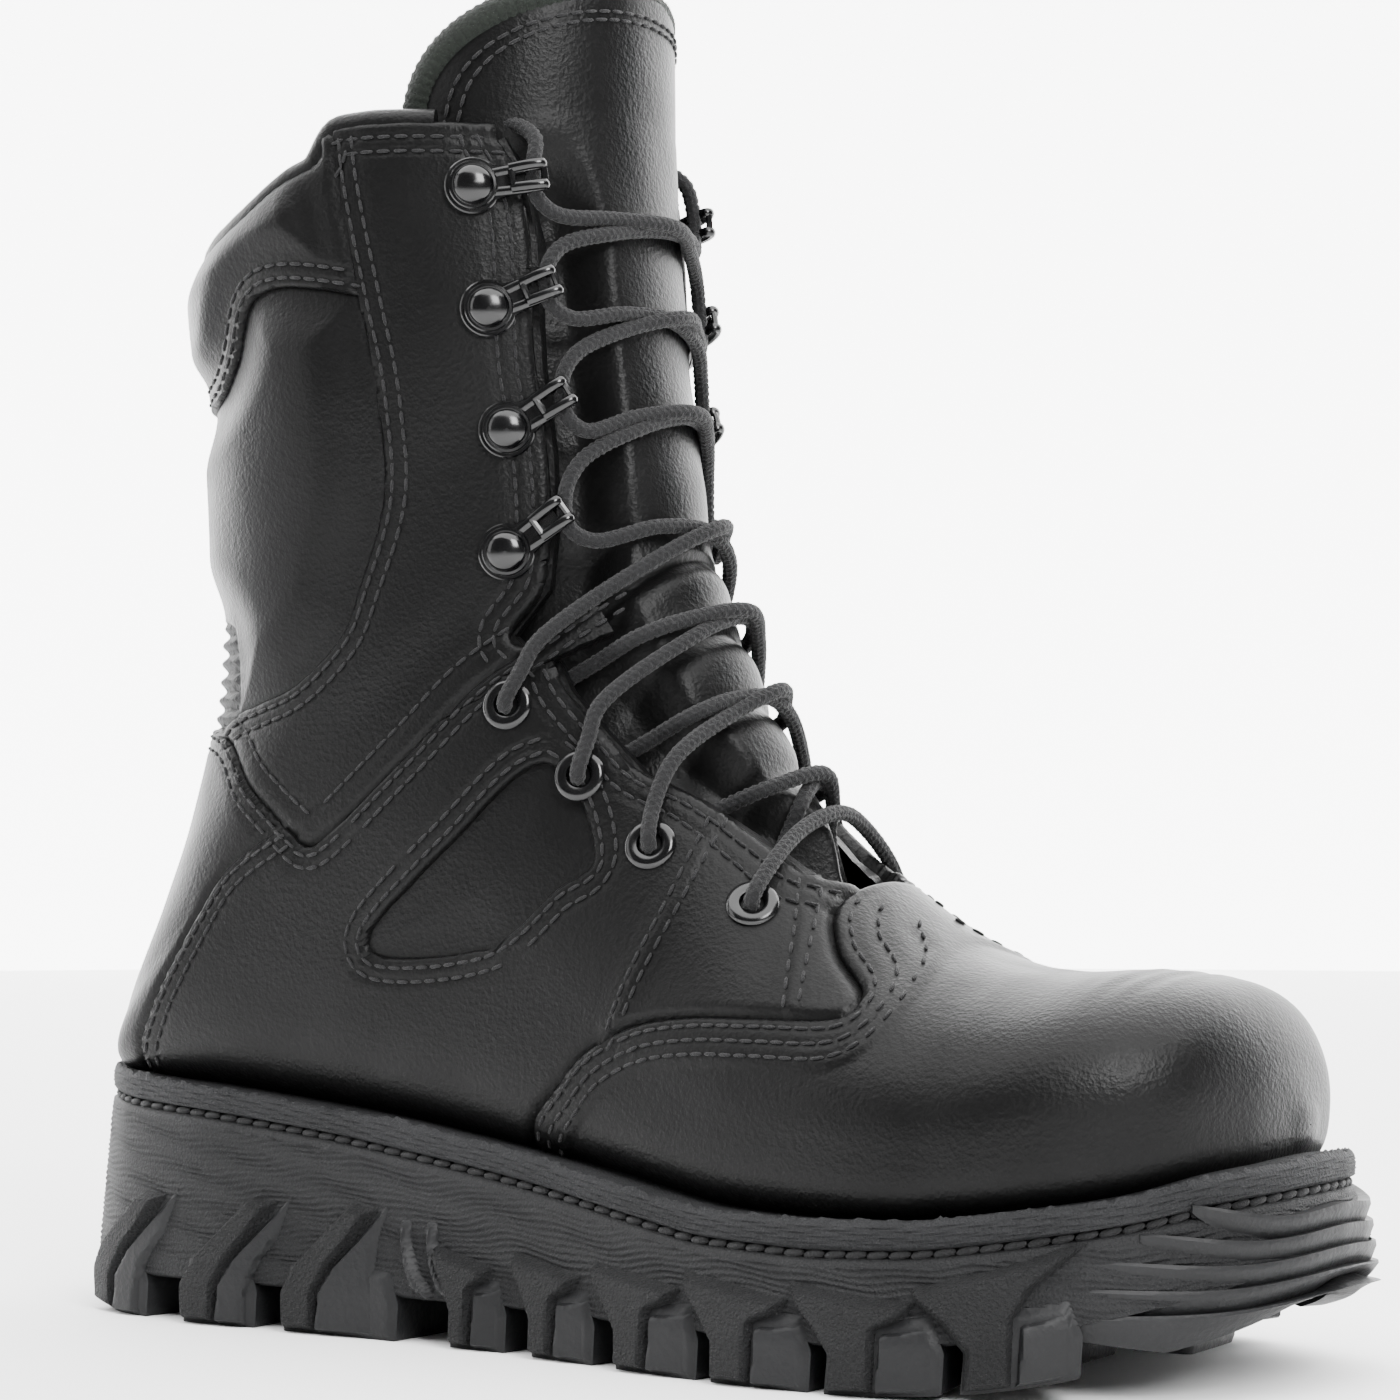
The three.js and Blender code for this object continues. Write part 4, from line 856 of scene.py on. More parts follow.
# ---------- hooks and eyelets ----------
HOOKS = [(19.3, 0.138), (17.1, 0.137), (14.8, 0.137), (12.8, 0.141)]
EYELETS = [(10.4, 0.165), (9.1, 0.161), (8.0, 0.153), (6.8, 0.122)]
BUTTON_R = 5.3
HOOK_LIFT = SHAFT_LIFT + 0.1
EYELET_LIFT = QUARTER_LIFT + 0.1
EYELET_R = 5.6
EYELET_BORE = 2.4


def arc(centre, radius, start, end, count):
    angle = np.radians(np.linspace(start, end, count))
    return np.stack([centre[0] + radius * np.cos(angle), centre[1] + radius * np.sin(angle)], -1)


def plate(outline, low, high, bevel=0.3):
    """A flat plate from a convex outline, with eased edges."""
    outline = np.asarray(outline)
    middle = outline.mean(0)
    rings = []
    for inset, z in ((bevel, low), (0, low + bevel), (0, high - bevel), (bevel, high)):
        ring = outline + unit(middle - outline) * inset
        rings.append(np.column_stack([ring, np.full(len(ring), z)]))
    count = len(outline)
    faces = grid_faces(len(rings), count, wrap=True)
    last = (len(rings) - 1) * count
    caps = [np.array([list(range(count))]), np.array([[last + count - 1 - k for k in range(count)]])]
    return np.vstack(rings), [faces, *caps]


# A hook's rail: [forward, sideways, above its plate].
HOOK_RAIL = [(4.0, 2.0, -0.5), (7.5, 2.2, -0.1), (11.0, 2.3, 0.2), (14.0, 2.3, 0.7), (15.7, 2.3, 1.7),
             (15.4, 2.3, 2.9), (13.2, 2.3, 3.3), (10.2, 2.2, 2.9), (8.2, 2.1, 2.4)]


def hook_part():
    """A domed button on a teardrop plate whose neck folds into two rails that turn back over."""
    neck = 3.4
    outline = np.vstack([arc((0, 0), BUTTON_R + 0.9, 38, 322, 30), [(7.5, -neck)], [(9.5, -neck + 0.2)],
                         [(9.5, neck - 0.2)], [(7.5, neck)]])
    base = plate(outline, HOOK_LIFT, HOOK_LIFT + 1.2)
    top = HOOK_LIFT + 1.2
    edge = [(0.01, top - 1), (BUTTON_R - 0.3, top - 1), (BUTTON_R, top), (BUTTON_R, top + 0.7),
            (BUTTON_R - 0.25, top + 1.0), (BUTTON_R - 0.8, top + 1.05), (BUTTON_R - 1.0, top + 1.3)]
    dome = [((BUTTON_R - 1.0) * math.cos(a), top + 1.3 + 1.9 * math.sin(a))
            for a in np.radians((15, 30, 45, 60, 75))]
    button = turned([*edge, *dome, (0.01, top + 3.2)])
    rails = []
    for side in (-1, 1):
        path = spline([(x, side * y, top + rise) for x, y, rise in HOOK_RAIL], 0.5)
        rails.append(swept(path, 1.0, 10, flat=(1.15, 0.85)))
    cross = [swept(spline([(x, -2.3, z), (x, 0, z + 0.1), (x, 2.3, z)], 0.5), 0.8, 8)
             for x, z in ((15.6, top + 2.2), (8.6, top + 2.5))]
    web = plate([(7.5, -2.6), (13.5, -2.6), (13.5, 2.6), (7.5, 2.6)], top - 0.9, top - 0.2, 0.2)
    return together([base, button, web, *rails, *cross])


def eyelet_part():
    """A rolled ring with a barrel that runs in through the leather."""
    low = EYELET_LIFT
    flange = [(EYELET_BORE + 0.5, -6.2), (EYELET_BORE + 0.5, low - 0.1), (EYELET_R - 0.2, low - 0.1),
              (EYELET_R, low + 0.25), (EYELET_R - 0.3, low + 0.75), (EYELET_R - 1.0, low + 1.1),
              (EYELET_BORE + 1.2, low + 1.15), (EYELET_BORE + 0.4, low + 0.9), (EYELET_BORE, low + 0.3),
              (EYELET_BORE, -6.2), (EYELET_BORE + 0.5, -6.2)]
    return turned(flange)


def hardware():
    hook, eyelet = hook_part(), eyelet_part()
    for side_name, side, _ in SIDES:
        for i, (u, v) in enumerate(HOOKS, 1):
            obj = mesh_object(f"hook_{side_name}_{i}_metal", *set_on(hook, u, side * v), BLACK_METAL, 35)
            finish_piece(obj, replaces=[f"hook_{side_name}_{i}"])
        for i, (u, v) in enumerate(EYELETS, 1):
            obj = mesh_object(f"eyelet_{side_name}_{i}_metal", *set_on(eyelet, u, side * v), BLACK_METAL, 35)
            finish_piece(obj, replaces=[f"eyelet_{side_name}_{i}"])


# ---------- tongue, binding, gussets ----------
TONGUE_TOP = 296.0
TONGUE_RIBS = TOP_RIB + (TONGUE_TOP - RIBS[TOP_RIB][3]) / RISE_PER_RIB
TONGUE_FOOT = 5.2
TONGUE_HALF = np.array([(TONGUE_FOOT, 0.1), (6, 0.13), (8, 0.18), (11, 0.184), (20.9, 0.184)])
ROUND_FROM = 20.6  # above this rib the tongue's outline rounds over
THROAT_HALF = np.array([(5.8, 0.03), (6.8, 0.048), (7.4, 0.074), (8, 0.1), (9, 0.13), (10.8, 0.137),
                        (12, 0.12), (15, 0.112), (18, 0.106), (20.3, 0.12), (21.5, 0.184)])
TONGUE_HIGH, TONGUE_LOW, TONGUE_UNDER_VAMP, TONGUE_EASE = 2.2, 11.2, 8.6, 0.031
TONGUE_PAD, TONGUE_EDGE = 6.5, 3.6
CROWN_DROP, CROWN_HALF = 9.0, 0.184  # above the shaft the tongue falls away evenly to its edges
FOLDS = (11.1, 9.75, 8.75, 7.85)  # ribs where the tongue creases


def tongue_half(u):
    base = np.interp(u, *TONGUE_HALF.T)
    s = np.clip((u - ROUND_FROM) / (TONGUE_RIBS - ROUND_FROM), 0, 1)
    return base * (1 - s**2.6) ** (1 / 2.2)


def tongue_depth(u, v):
    high = TONGUE_UNDER_VAMP + (TONGUE_HIGH - TONGUE_UNDER_VAMP) * ramp(6.1, 7, u)
    edge = np.interp(np.minimum(u, 19.8), *THROAT_HALF.T) - TONGUE_EASE
    depth = high + (TONGUE_LOW - high) * ramp(0, 1, (np.abs(v) - edge + TONGUE_EASE) / TONGUE_EASE)
    crown = TONGUE_HIGH + CROWN_DROP * np.minimum(np.abs(v) / CROWN_HALF, 1.0) ** 2.6
    above = ramp(18.6, 20.6, u)
    return depth + (crown - depth) * above


def tongue_relief(u, v):
    """Padding between the creases."""
    middle = 1 - ramp(0.06, 0.13, np.abs(v))
    h = np.zeros(np.shape(u))
    for at in FOLDS:
        bow = u - at + 6 * v * v * 4
        h = h - 1.5 * np.exp(-((bow / 0.16) ** 2)) + 0.9 * np.exp(-(((bow + 0.42) / 0.3) ** 2))
    seam = u - FOLDS[0] + 24 * v * v
    h = h + 0.8 * np.exp(-(((seam - 0.1) / 0.1) ** 2))
    return h * middle * ramp(6.4, 7.4, u)


def tongue():
    rows, columns = 330, 96
    s = np.linspace(0, 1, rows)
    u = TONGUE_FOOT + (TONGUE_RIBS - 0.02 - TONGUE_FOOT) * (1 - (1 - s) ** 1.15)
    u = np.repeat(u[:, None], columns, 1)
    share = np.linspace(-1, 1, columns)[None]
    v = tongue_half(u) * share
    depth = tongue_depth(u, v)
    swell = 1.6 * (1 - share**4) * ramp(11.5, 13, u) - 1.6 * (1 - np.sqrt(np.clip(1 - share**8, 0, 1)))
    at = form(u, v)
    height = tongue_relief(u, v) + swell + wear(at, 0.3, 11.0, 23)
    outer = raised(u, v, height, depth)
    thick = TONGUE_PAD + (TONGUE_EDGE - TONGUE_PAD) * ramp(0.2, 1.0, np.abs(share)) * np.ones(u.shape)
    inner = form(u, v, depth + thick)
    triangles = halved(grid_faces(rows, columns))
    coords = np.stack([u.ravel(), v.ravel()], -1)
    points, faces = shell(coords, triangles, outer.reshape(-1, 3), inner.reshape(-1, 3))
    obj = mesh_object("tongue_skin", points, faces, TONGUE_LEATHER)
    finish_piece(obj, "tongue", ["tongue"])


def binding_edge(u, side):
    v = side * tongue_half(u)
    return form(u, v, tongue_depth(u, v) + TONGUE_EDGE / 2)


def binding():
    """The woven tape folded over the tongue's edge, with its two stitch rows."""
    u = np.concatenate([np.linspace(15.5, ROUND_FROM, 20), TONGUE_RIBS - (TONGUE_RIBS - ROUND_FROM) *
                        (1 - np.linspace(0.05, 1, 40)) ** 1.7 - 0.01])
    left, right = binding_edge(u, 1), binding_edge(u, -1)
    path = along_line(np.vstack([left, right[::-1]]), 0.55)
    smooth_path = path.copy()
    for _ in range(12):
        smooth_path[1:-1] = (smooth_path[:-2] + 2 * smooth_path[1:-1] + smooth_path[2:]) / 4

    def woven(angle, distance):
        ribs = np.sin(angle * 14) * np.sin(distance * 2 * np.pi / 2.1 + np.floor(angle * 14 / np.pi) * np.pi)
        return 1 + 0.075 * ribs

    centre = smooth_path.mean(0)
    points, faces = swept(smooth_path, 3.1, 44, woven, flat=(1.15, 1.0), first=centre - smooth_path[0])
    obj = mesh_object("tongue_binding_tape", points, faces, BINDING_CLOTH, 70)
    finish_piece(obj, "tongue", ["tongue_binding"])
    fuzz(smooth_path)
    tape_stitches()


def fuzz(path):
    """Short loose fibres on the tape."""
    draw = np.random.default_rng(4)
    count = 5200
    pick = draw.integers(1, len(path) - 1, count)
    tangent, a, b = frames_along(path)
    angle = draw.uniform(0, 2 * np.pi, count)[:, None]
    out = a[pick] * np.cos(angle) + b[pick] * np.sin(angle)
    root = path[pick] + out * 3.1
    lean = unit(out + 0.9 * draw.normal(size=(count, 3)))
    tip = root + lean * draw.uniform(0.4, 1.1, count)[:, None]
    width = unit(np.cross(lean, tangent[pick])) * 0.07
    points = np.stack([root - width, root + width, tip, root + np.cross(lean, width) * 1.5], 1).reshape(-1, 3)
    base = (np.arange(count) * 4)[:, None]
    faces = np.vstack([base + [0, 1, 2], base + [1, 3, 2], base + [3, 0, 2]])
    finish_piece(mesh_object("tongue_binding_fuzz", points, [faces], BINDING_CLOTH), "tongue")


def tape_stitches():
    """Two rows of stitches on the tongue just inside the tape."""
    centres, directions, outs = [], [], []
    for inside in (0.026, 0.036):
        ends = TONGUE_RIBS - inside * 14
        u = np.concatenate([np.linspace(16, ROUND_FROM, 60), np.linspace(ROUND_FROM, ends, 60)[1:]])
        span = np.clip((u - ROUND_FROM) / (ends - ROUND_FROM), 0, 1)
        half = (np.interp(u, *TONGUE_HALF.T) - inside) * (1 - span**2.6) ** (1 / 2.2)
        coords = np.vstack([np.stack([u, half], -1), np.stack([u, -half], -1)[::-1]])
        at = form(coords[:, 0], coords[:, 1])
        length = np.concatenate([[0], np.cumsum(np.linalg.norm(np.diff(at, axis=0), axis=1))])
        where = np.arange(1.0, length[-1], STITCH + STITCH_GAP)
        u, v = (np.interp(where, length, coords[:, k]) for k in (0, 1))
        u2, v2 = (np.interp(where + 0.8, length, coords[:, k]) for k in (0, 1))
        share = np.clip(v / tongue_half(u), -1, 1)
        height = 1.6 * (1 - share**4) - 1.6 * (1 - np.sqrt(np.clip(1 - share**8, 0, 1))) + 0.2
        normal = axes_at(u, v)[2]
        depth = tongue_depth(u, v)
        centre = form(u, v, depth) + normal * height[:, None]
        centres.append(centre)
        directions.append(unit(form(u2, v2, tongue_depth(u2, v2)) - form(u, v, depth)))
        outs.append(normal)
    points, faces = capsule_mesh(np.vstack(centres), np.vstack(directions), np.vstack(outs), STITCH, STITCH_R)
    finish_piece(mesh_object("tongue_tape_stitches", points, faces, THREAD), "tongue")


def gussets():
    """Folded cloth between the tongue's edge and the lining."""
    for side_name, side, _ in SIDES:
        rows, columns = 160, 24
        u = np.repeat(np.linspace(8, 20, rows)[:, None], columns, 1)
        share = np.linspace(0, 1, columns)[None]
        v = side * (tongue_half(u) + 0.006 + (0.216 - tongue_half(u) - 0.006) * share)
        fold = 0.9 * np.sin(share * 3 * np.pi) + 0.25 * np.sin(u * 5)
        order = 1 if side > 0 else -1
        outer = raised(u, v, fold, 6.0)[:, ::order].reshape(-1, 3)
        inner = raised(u, v, fold, 6.8)[:, ::order].reshape(-1, 3)
        triangles = halved(grid_faces(rows, columns))
        points, faces = shell(outer, triangles, outer, inner)
        obj = mesh_object(f"tongue_gusset_{side_name}_cloth", points, faces, LINING_CLOTH)
        finish_piece(obj, replaces=[f"tongue_gusset_{side_name}"])


# ---------- lining and footbed ----------
LINING_SLOT = 0.222  # the lining stops this far from the front, beside the tongue


def lining():
    coords, triangles = chart((-0.3, 21.0), (0.0, 1.0))
    at = form(coords[:, 0], coords[:, 1])
    below_collar = signed("collar", at[:, 0], at[:, 2]) + 0.6
    slot_gap = (np.minimum(coords[:, 1], 1 - coords[:, 1]) - LINING_SLOT) * 320
    beyond_slot = np.maximum(slot_gap, (5.8 - coords[:, 0]) * 15)
    coords, triangles = clip(coords, triangles, np.minimum(below_collar, beyond_slot))
    u, v = coords.T
    waves = 0.12 * ripple(form(u, v), 5.0, 31)
    outer = form(u, v, 5.0)
    inner = raised(u, v, waves, 7.0)
    points, faces = shell(coords, triangles, outer, inner)
    finish_piece(mesh_object("lining_cloth", points, faces, LINING_CLOTH), replaces=["lining"])


def collar_rim():
    """The rolled top edge that joins the leather and the lining."""
    u0 = np.linspace(12, 21, 400)
    spots = []
    for v in np.linspace(0.16, 0.84, 260):
        at = form(u0, np.full(400, v))
        d = signed("collar", at[:, 0], at[:, 2])
        below = np.where(d > 0)[0]
        spots.append((u0[below[-1]], v))
    coords = np.array(spots)
    path = form(coords[:, 0], coords[:, 1], 3.2)
    for _ in range(3):
        path[1:-1] = (path[:-2] + 2 * path[1:-1] + path[2:]) / 4
    points, faces = swept(along_line(path, 1.2), 3.6, 20)
    finish_piece(mesh_object("collar_rim", points, faces, LEATHER))


def footbed():
    rows, columns = 150, 60
    u = np.repeat(np.linspace(1.5, 11, rows)[:, None], columns, 1)
    half = 0.135 - 0.04 * ramp(8.5, 11, u)
    share = np.linspace(-1, 1, columns)[None]
    v = 0.5 + half * share
    weave = 0.1 * np.sin(u * 40) * np.sin(share * 60)
    lower = raised(u, v, weave, 8.5).reshape(-1, 3)
    upper = form(u, v, 12.5).reshape(-1, 3)
    triangles = halved(grid_faces(rows, columns))
    points, faces = shell(upper, triangles, lower, upper)
    finish_piece(mesh_object("footbed_foam", points, faces, FOAM), "footbed", ["footbed"])


# ---------- the sole ----------
SEAT = np.array([(-147, 54)] + [(x, z) for x, z in RIBS[11:0:-1, :2]] + [(160, 45)])
SEAT = SEAT[np.argsort(SEAT[:, 0])]
OUTLINE_POINTS = 1300


def seat_line():
    x = np.linspace(-160, 165, 400)
    z = np.interp(x, *SEAT.T)
    for _ in range(40):
        z[1:-1] = (z[:-2] + 2 * z[1:-1] + z[2:]) / 4
    return x, z


SEAT_LINE = seat_line()


def seat(x):
    return np.interp(x, *SEAT_LINE)


def sole_outline():
    """The welt's plan outline as a closed loop of even steps, from the heel along the outer side."""
    t = np.linspace(0, len(SOLE) - 1, 400)
    rows = row_at(SOLE, t)
    loop = np.vstack([rows[:, [0, 1]], rows[::-1][:, [0, 2]], rows[:1, [0, 1]]])
    loop = along_line(loop, np.linalg.norm(np.diff(loop, axis=0), axis=1).sum() / OUTLINE_POINTS)
    for _ in range(10):
        loop = (np.roll(loop, 1, 0) + 2 * loop + np.roll(loop, -1, 0)) / 4
    ahead = unit(np.roll(loop, -1, 0) - np.roll(loop, 1, 0))
    return loop, np.stack([ahead[:, 1], -ahead[:, 0]], -1)


LOOP, LOOP_OUT = sole_outline()
LOOP_SEAT = seat(LOOP[:, 0])
GROUND_X, GROUND_Z = row_at(SOLE, np.linspace(0, 15, 200))[:, [0, 3]].T


def ground(x):
    return np.interp(x, GROUND_X, GROUND_Z)


LOOP_GROUND = ground(LOOP[:, 0])


def loop_ring(out, z):
    """The outline moved out by a distance, at a height."""
    plan = LOOP + LOOP_OUT * np.broadcast_to(out, (len(LOOP),))[:, None]
    return np.column_stack([plan, np.broadcast_to(z, (len(LOOP),))])


def loft(rings):
    return np.vstack(rings), [grid_faces(len(rings), len(rings[0]), wrap=True)]


LOOP_AT = np.cumsum(np.linalg.norm(LOOP - np.roll(LOOP, 1, 0), axis=1))
SOLE_CORE = -13  # how far in from the outline the bands of the sole run


def welt():
    """The welt: a rough-topped band with fine lines along it, closing on the leather."""
    rough = np.random.default_rng(8).normal(size=(3, OUTLINE_POINTS))
    rough = (rough + np.roll(rough, 1, 1) + np.roll(rough, -1, 1)) / 2.2
    wave = 0.25 * np.sin(LOOP_AT / 17.0) + 0.18 * np.sin(LOOP_AT / 6.1 + 1)
    rings = [loop_ring(SOLE_CORE, LOOP_SEAT - 2.0), loop_ring(SOLE_CORE, LOOP_SEAT + 1.2)]
    rings.append(loop_ring(-2.6, LOOP_SEAT + 1.5 + wave))
    rings.append(loop_ring(-1.5, LOOP_SEAT + 1.6 + wave + 0.22 * rough[0]))
    rings.append(loop_ring(-0.8, LOOP_SEAT + 1.9 + wave + 0.3 * rough[1]))
    rings.append(loop_ring(-0.2, LOOP_SEAT + 1.5 + wave + 0.25 * rough[2]))
    for k in range(15):
        share = k / 14
        line = 0.16 * (k % 2) + 0.08 * np.sin(LOOP_AT / 2.3 + k * 1.9)
        belly = 0.25 * math.sin(math.pi * share)
        rings.append(loop_ring(0.2 + line + belly, LOOP_SEAT + 1.0 + 0.6 * wave - 4.4 * share))
    rings += [loop_ring(out, LOOP_SEAT - down) for out, down in ((-0.5, 3.8), (-1.6, 4.0), (SOLE_CORE, 4.0))]
    rings = rings[::-1]
    points, faces = loft(rings + [rings[0]])
    finish_piece(mesh_object("welt_band", points, faces, WELT_RUBBER), replaces=["welt"])


def welt_stitches():
    """Thick twisted stitches in the groove between the welt and the sole."""
    step = 4.6
    ring = loop_ring(-0.9, LOOP_SEAT - 4.75)
    ring = np.vstack([ring, ring[:1]])
    spots = along_line(ring, step)
    ahead = unit(np.gradient(spots, axis=0))
    out = unit(np.cross(ahead, np.array([0.0, 0, 1.0])))
    tilt = unit(ahead + 0.16 * np.array([0, 0, 1.0]))
    points, faces = capsule_mesh(spots, tilt, out, step * 0.96, 0.85, 8)
    finish_piece(mesh_object("welt_thread", points, faces, THREAD), replaces=["welt_stitching"])


FLARE = 3.5
TREAD = 13.0


def midsole():
    """The shelf under the stitches."""
    section = [(SOLE_CORE, 4.2), (-2.4, 4.2), (-2.2, 5.4), (-0.4, 5.5), (0.5, 6.0), (0.7, 7.4),
               (SOLE_CORE, 7.4)]
    rings = [loop_ring(out, LOOP_SEAT - down) for out, down in reversed(section)]
    points, faces = loft(rings + [rings[0]])
    finish_piece(mesh_object("midsole_edge", points, faces, SOLE_RUBBER), replaces=["midsole"])


WALL_TOP = 7.2  # the wall starts this far below the seat
WALL_NECK = 0.7  # how far it stands out there
WALL_FOOT = TREAD - 3.0  # and it ends this high above the ground
LINE_PITCH = 1.25


def sidewall():
    """The outsole's wall with wavy moulded lines, and its underside."""
    rows = 96
    rings = [loop_ring(SOLE_CORE, LOOP_SEAT - WALL_TOP), loop_ring(0.2, LOOP_SEAT - WALL_TOP + 0.2)]
    top, foot = LOOP_SEAT - WALL_TOP, LOOP_GROUND + WALL_FOOT
    for k in range(rows):
        share = k / (rows - 1)
        z = top + (foot - top) * share
        wobble = 0.9 * np.sin(LOOP_AT / 9.0 + 0.6 * np.sin(LOOP_AT / 23.0))
        wobble = wobble + 0.35 * np.sin(LOOP_AT / 3.1 + z / 2)
        strength = 0.15 + 0.06 * np.sin(LOOP_AT / 5.3 + z)
        line = strength * np.sin(2 * np.pi * (z + wobble) / LINE_PITCH)
        rings.append(loop_ring(WALL_NECK + (FLARE - WALL_NECK) * share + line, z))
    rings.append(loop_ring(FLARE - 2, foot - 0.8))
    rings += [loop_ring(-inward, foot - 1.0) for inward in (10, 22, 34)]
    return loft(rings[::-1])


TOE = LOOP[:, 0].argmax()
LOOP_LENGTH = LOOP_AT[-1]
MOULD_STEP = 0.7


def around(x, side):
    """Arc length round the outline where it passes x on one side."""
    half = slice(0, TOE) if side > 0 else slice(None, TOE, -1)
    return np.interp(x, LOOP[half, 0], LOOP_AT[half])


def wall_at(a, up, out):
    """A point of the sidewall: arc length, height above the ground there, and how far it stands out."""
    columns = (*LOOP.T, *LOOP_OUT.T, LOOP_SEAT - WALL_TOP, LOOP_GROUND)
    x, y, nx, ny, top, floor = (np.interp(a, LOOP_AT, c, period=LOOP_LENGTH) for c in columns)
    z = floor + up
    share = np.clip((top - z) / (top - floor - WALL_FOOT), 0, 1)
    reach = WALL_NECK + (FLARE - WALL_NECK) * share + out
    return np.stack([x + nx * reach, y + ny * reach, z], -1)


def moulded(outline, x, side, rise, bevel=1.2, slope=0.0, scale=1.0, deep=2.0):
    """A raised shape on the sidewall. Its outline is in millimetres forward of x and above the ground."""
    outline = np.array(outline, float) * (scale, 1.0)
    low, high = outline.min(0) - 0.3, outline.max(0) + 0.3
    columns, rows = ((high - low) / MOULD_STEP).astype(int) + 2
    places = np.linspace(low[1], high[1], rows), np.linspace(low[0], high[0], columns)
    up, forward = np.meshgrid(*places, indexing="ij")
    coords = np.stack([forward.ravel(), up.ravel()], -1)
    closed = np.vstack([outline, outline[:1]])

    def edge(points):
        gap, _ = gap_to(closed, *points.T)
        return gap * np.where(inside(outline, *points.T), 1, -1)

    coords, triangles = clip(coords, halved(grid_faces(rows, columns)), edge(coords))
    share = (coords[:, 0] - low[0]) / (high[0] - low[0])
    height = rise * (1 - slope * share) * ramp(0, bevel, edge(coords))
    a = around(x, side) + side * coords[:, 0]
    if side > 0:
        triangles = triangles[:, ::-1]
    return shell(coords, triangles, wall_at(a, coords[:, 1], height), wall_at(a, coords[:, 1], -deep))


CORNER_POINTS, CORNER_EASE = 5, 2.2


def rounded_stack(levels):
    """A solid through levels of four-cornered sections with rounded corners."""
    rings = []
    for (x0, x1, y0, y1, z, soft) in levels:
        r = min(CORNER_EASE * soft, (x1 - x0) / 2.1, (y1 - y0) / 2.1)
        corners = ((x1 - r, y1 - r, 0), (x0 + r, y1 - r, 90), (x0 + r, y0 + r, 180), (x1 - r, y0 + r, 270))
        ring = np.vstack([arc((cx, cy), r, start, start + 90, CORNER_POINTS) for cx, cy, start in corners])
        rings.append(np.column_stack([ring, np.full(len(ring), z)]))
    count = len(rings[0])
    last = (len(rings) - 1) * count
    faces = [grid_faces(len(rings), count, wrap=True)[:, ::-1]]
    faces.append(np.arange(count)[::-1][None])
    faces.append((last + np.arange(count))[None])
    return np.vstack(rings), faces


LUG_LENGTH = 19.0
LUG_INTO = 22.0  # how far a side lug runs in under the sole
LUG_TOP = TREAD + 2.0
MIDDLE_LUGS = (-108, -80, -54, -12, 12, 37, 62, 88, 114)

# Shapes on the sidewall, in millimetres forward of a lug's back corner and above the ground.
FORE_BLADE = [(0.3, 0.4), (0.6, 8), (-1.5, 11.5), (-5.5, 16.5), (-7.5, 21.5), (15.5, 17.8), (13.5, 14.2),
              (9.8, 12.4), (9.6, 6), (9.2, 0.4)]
FORE_FACET = [(9.0, 0.4), (9.4, 7), (9.7, 12.4), (18.5, 13.5), (19.5, 8), (19.0, 0.4)]
TOE_BLADE = [(0.3, 0.4), (0.6, 8), (-3, 13), (-8, 17.5), (-9.5, 20.5), (20, 25.5), (22, 25), (12, 18),
             (9.5, 13.5), (9.2, 8), (9, 0.4)]
HEEL_BLADE = [(0.3, 0.4), (-0.2, 9), (4, 16), (11, 22.5), (17.5, 28.5), (25.5, 28), (20, 21), (14.5, 15),
              (11, 9), (10.4, 0.4)]
HEEL_FACET = [(10, 0.4), (10.6, 9), (14.2, 15), (20, 21), (29, 29.5), (25.5, 20), (20, 13), (18.6, 7),
              (18.4, 0.4)]
ARCH_RIB = [(5.5, 9.5), (1.8, 11), (-0.8, 16), (-2.2, 21.5), (-2.4, 26), (0.2, 26), (1.0, 20.5), (3.4, 15.5),
            (8, 11)]
HEEL_FACET_WIDE = [(10, 0.4), (10.6, 9), (14.2, 15), (20, 21), (28, 29.5), (25.5, 21), (25, 14), (28, 7),
                   (28.6, 0.4)]
# [back corner, share of the lug length, stretch of the shapes, shape of its blade, shape of its facet]
LUGS = [
    (-130, 1.0, 1.0, HEEL_BLADE, HEEL_FACET),
    (-100, 1.0, 1.0, HEEL_BLADE, HEEL_FACET),
    (-72, 1.6, 1.0, HEEL_BLADE, HEEL_FACET_WIDE),
    (-26, 0.75, 0.75, FORE_BLADE, FORE_FACET),
    (-3, 0.9, 0.9, FORE_BLADE, FORE_FACET),
    (21, 1.1, 1.1, FORE_BLADE, FORE_FACET),
    (46, 1.15, 1.15, FORE_BLADE, FORE_FACET),
    (72, 1.2, 1.2, FORE_BLADE, FORE_FACET),
    (99, 1.1, 1.1, TOE_BLADE, FORE_FACET),
]
ARCH_RIBS = (-38, -31)


def side_lugs(side):
    """The lugs' blocks, blades, facets and arch ribs on one side, by material."""
    blocks, blades, facets = [], [], []
    for x, share, stretch, blade, facet in LUGS:
        length = share * LUG_LENGTH
        block = [(0, 0), (length + 1, 0), (length + 1.5, 8), (length - 1, LUG_TOP), (1.5, LUG_TOP)]
        blocks.append(moulded(block, x, side, 1.0, 2.0, deep=LUG_INTO))
        blades.append(moulded(blade, x, side, 3.2, 1.7, scale=stretch))
        facets.append(moulded(facet, x, side, 3.1, 1.0, 0.85, stretch))
    facets += [moulded(ARCH_RIB, x, side, 2.2, 1.4) for x in ARCH_RIBS]
    return blocks + facets, blades


SCALES = 5
SCALE_TIPS = (106, 7.5)  # where the lowest scale ends, and how much further forward each next one does
SCALE_END = 16.0  # height of the lowest scale's tips
SCALE_END_STEP = 5.4
SCALE_MIDDLE = 19.5  # height of its edge at the toe's middle
SCALE_MIDDLE_STEP = 4.1
SCALE_RISE = 3.2
SCALE_STEPS = (0.0, 0.15, 0.3, 0.45, 0.6, 0.75, 0.87, 0.95, 1.0)


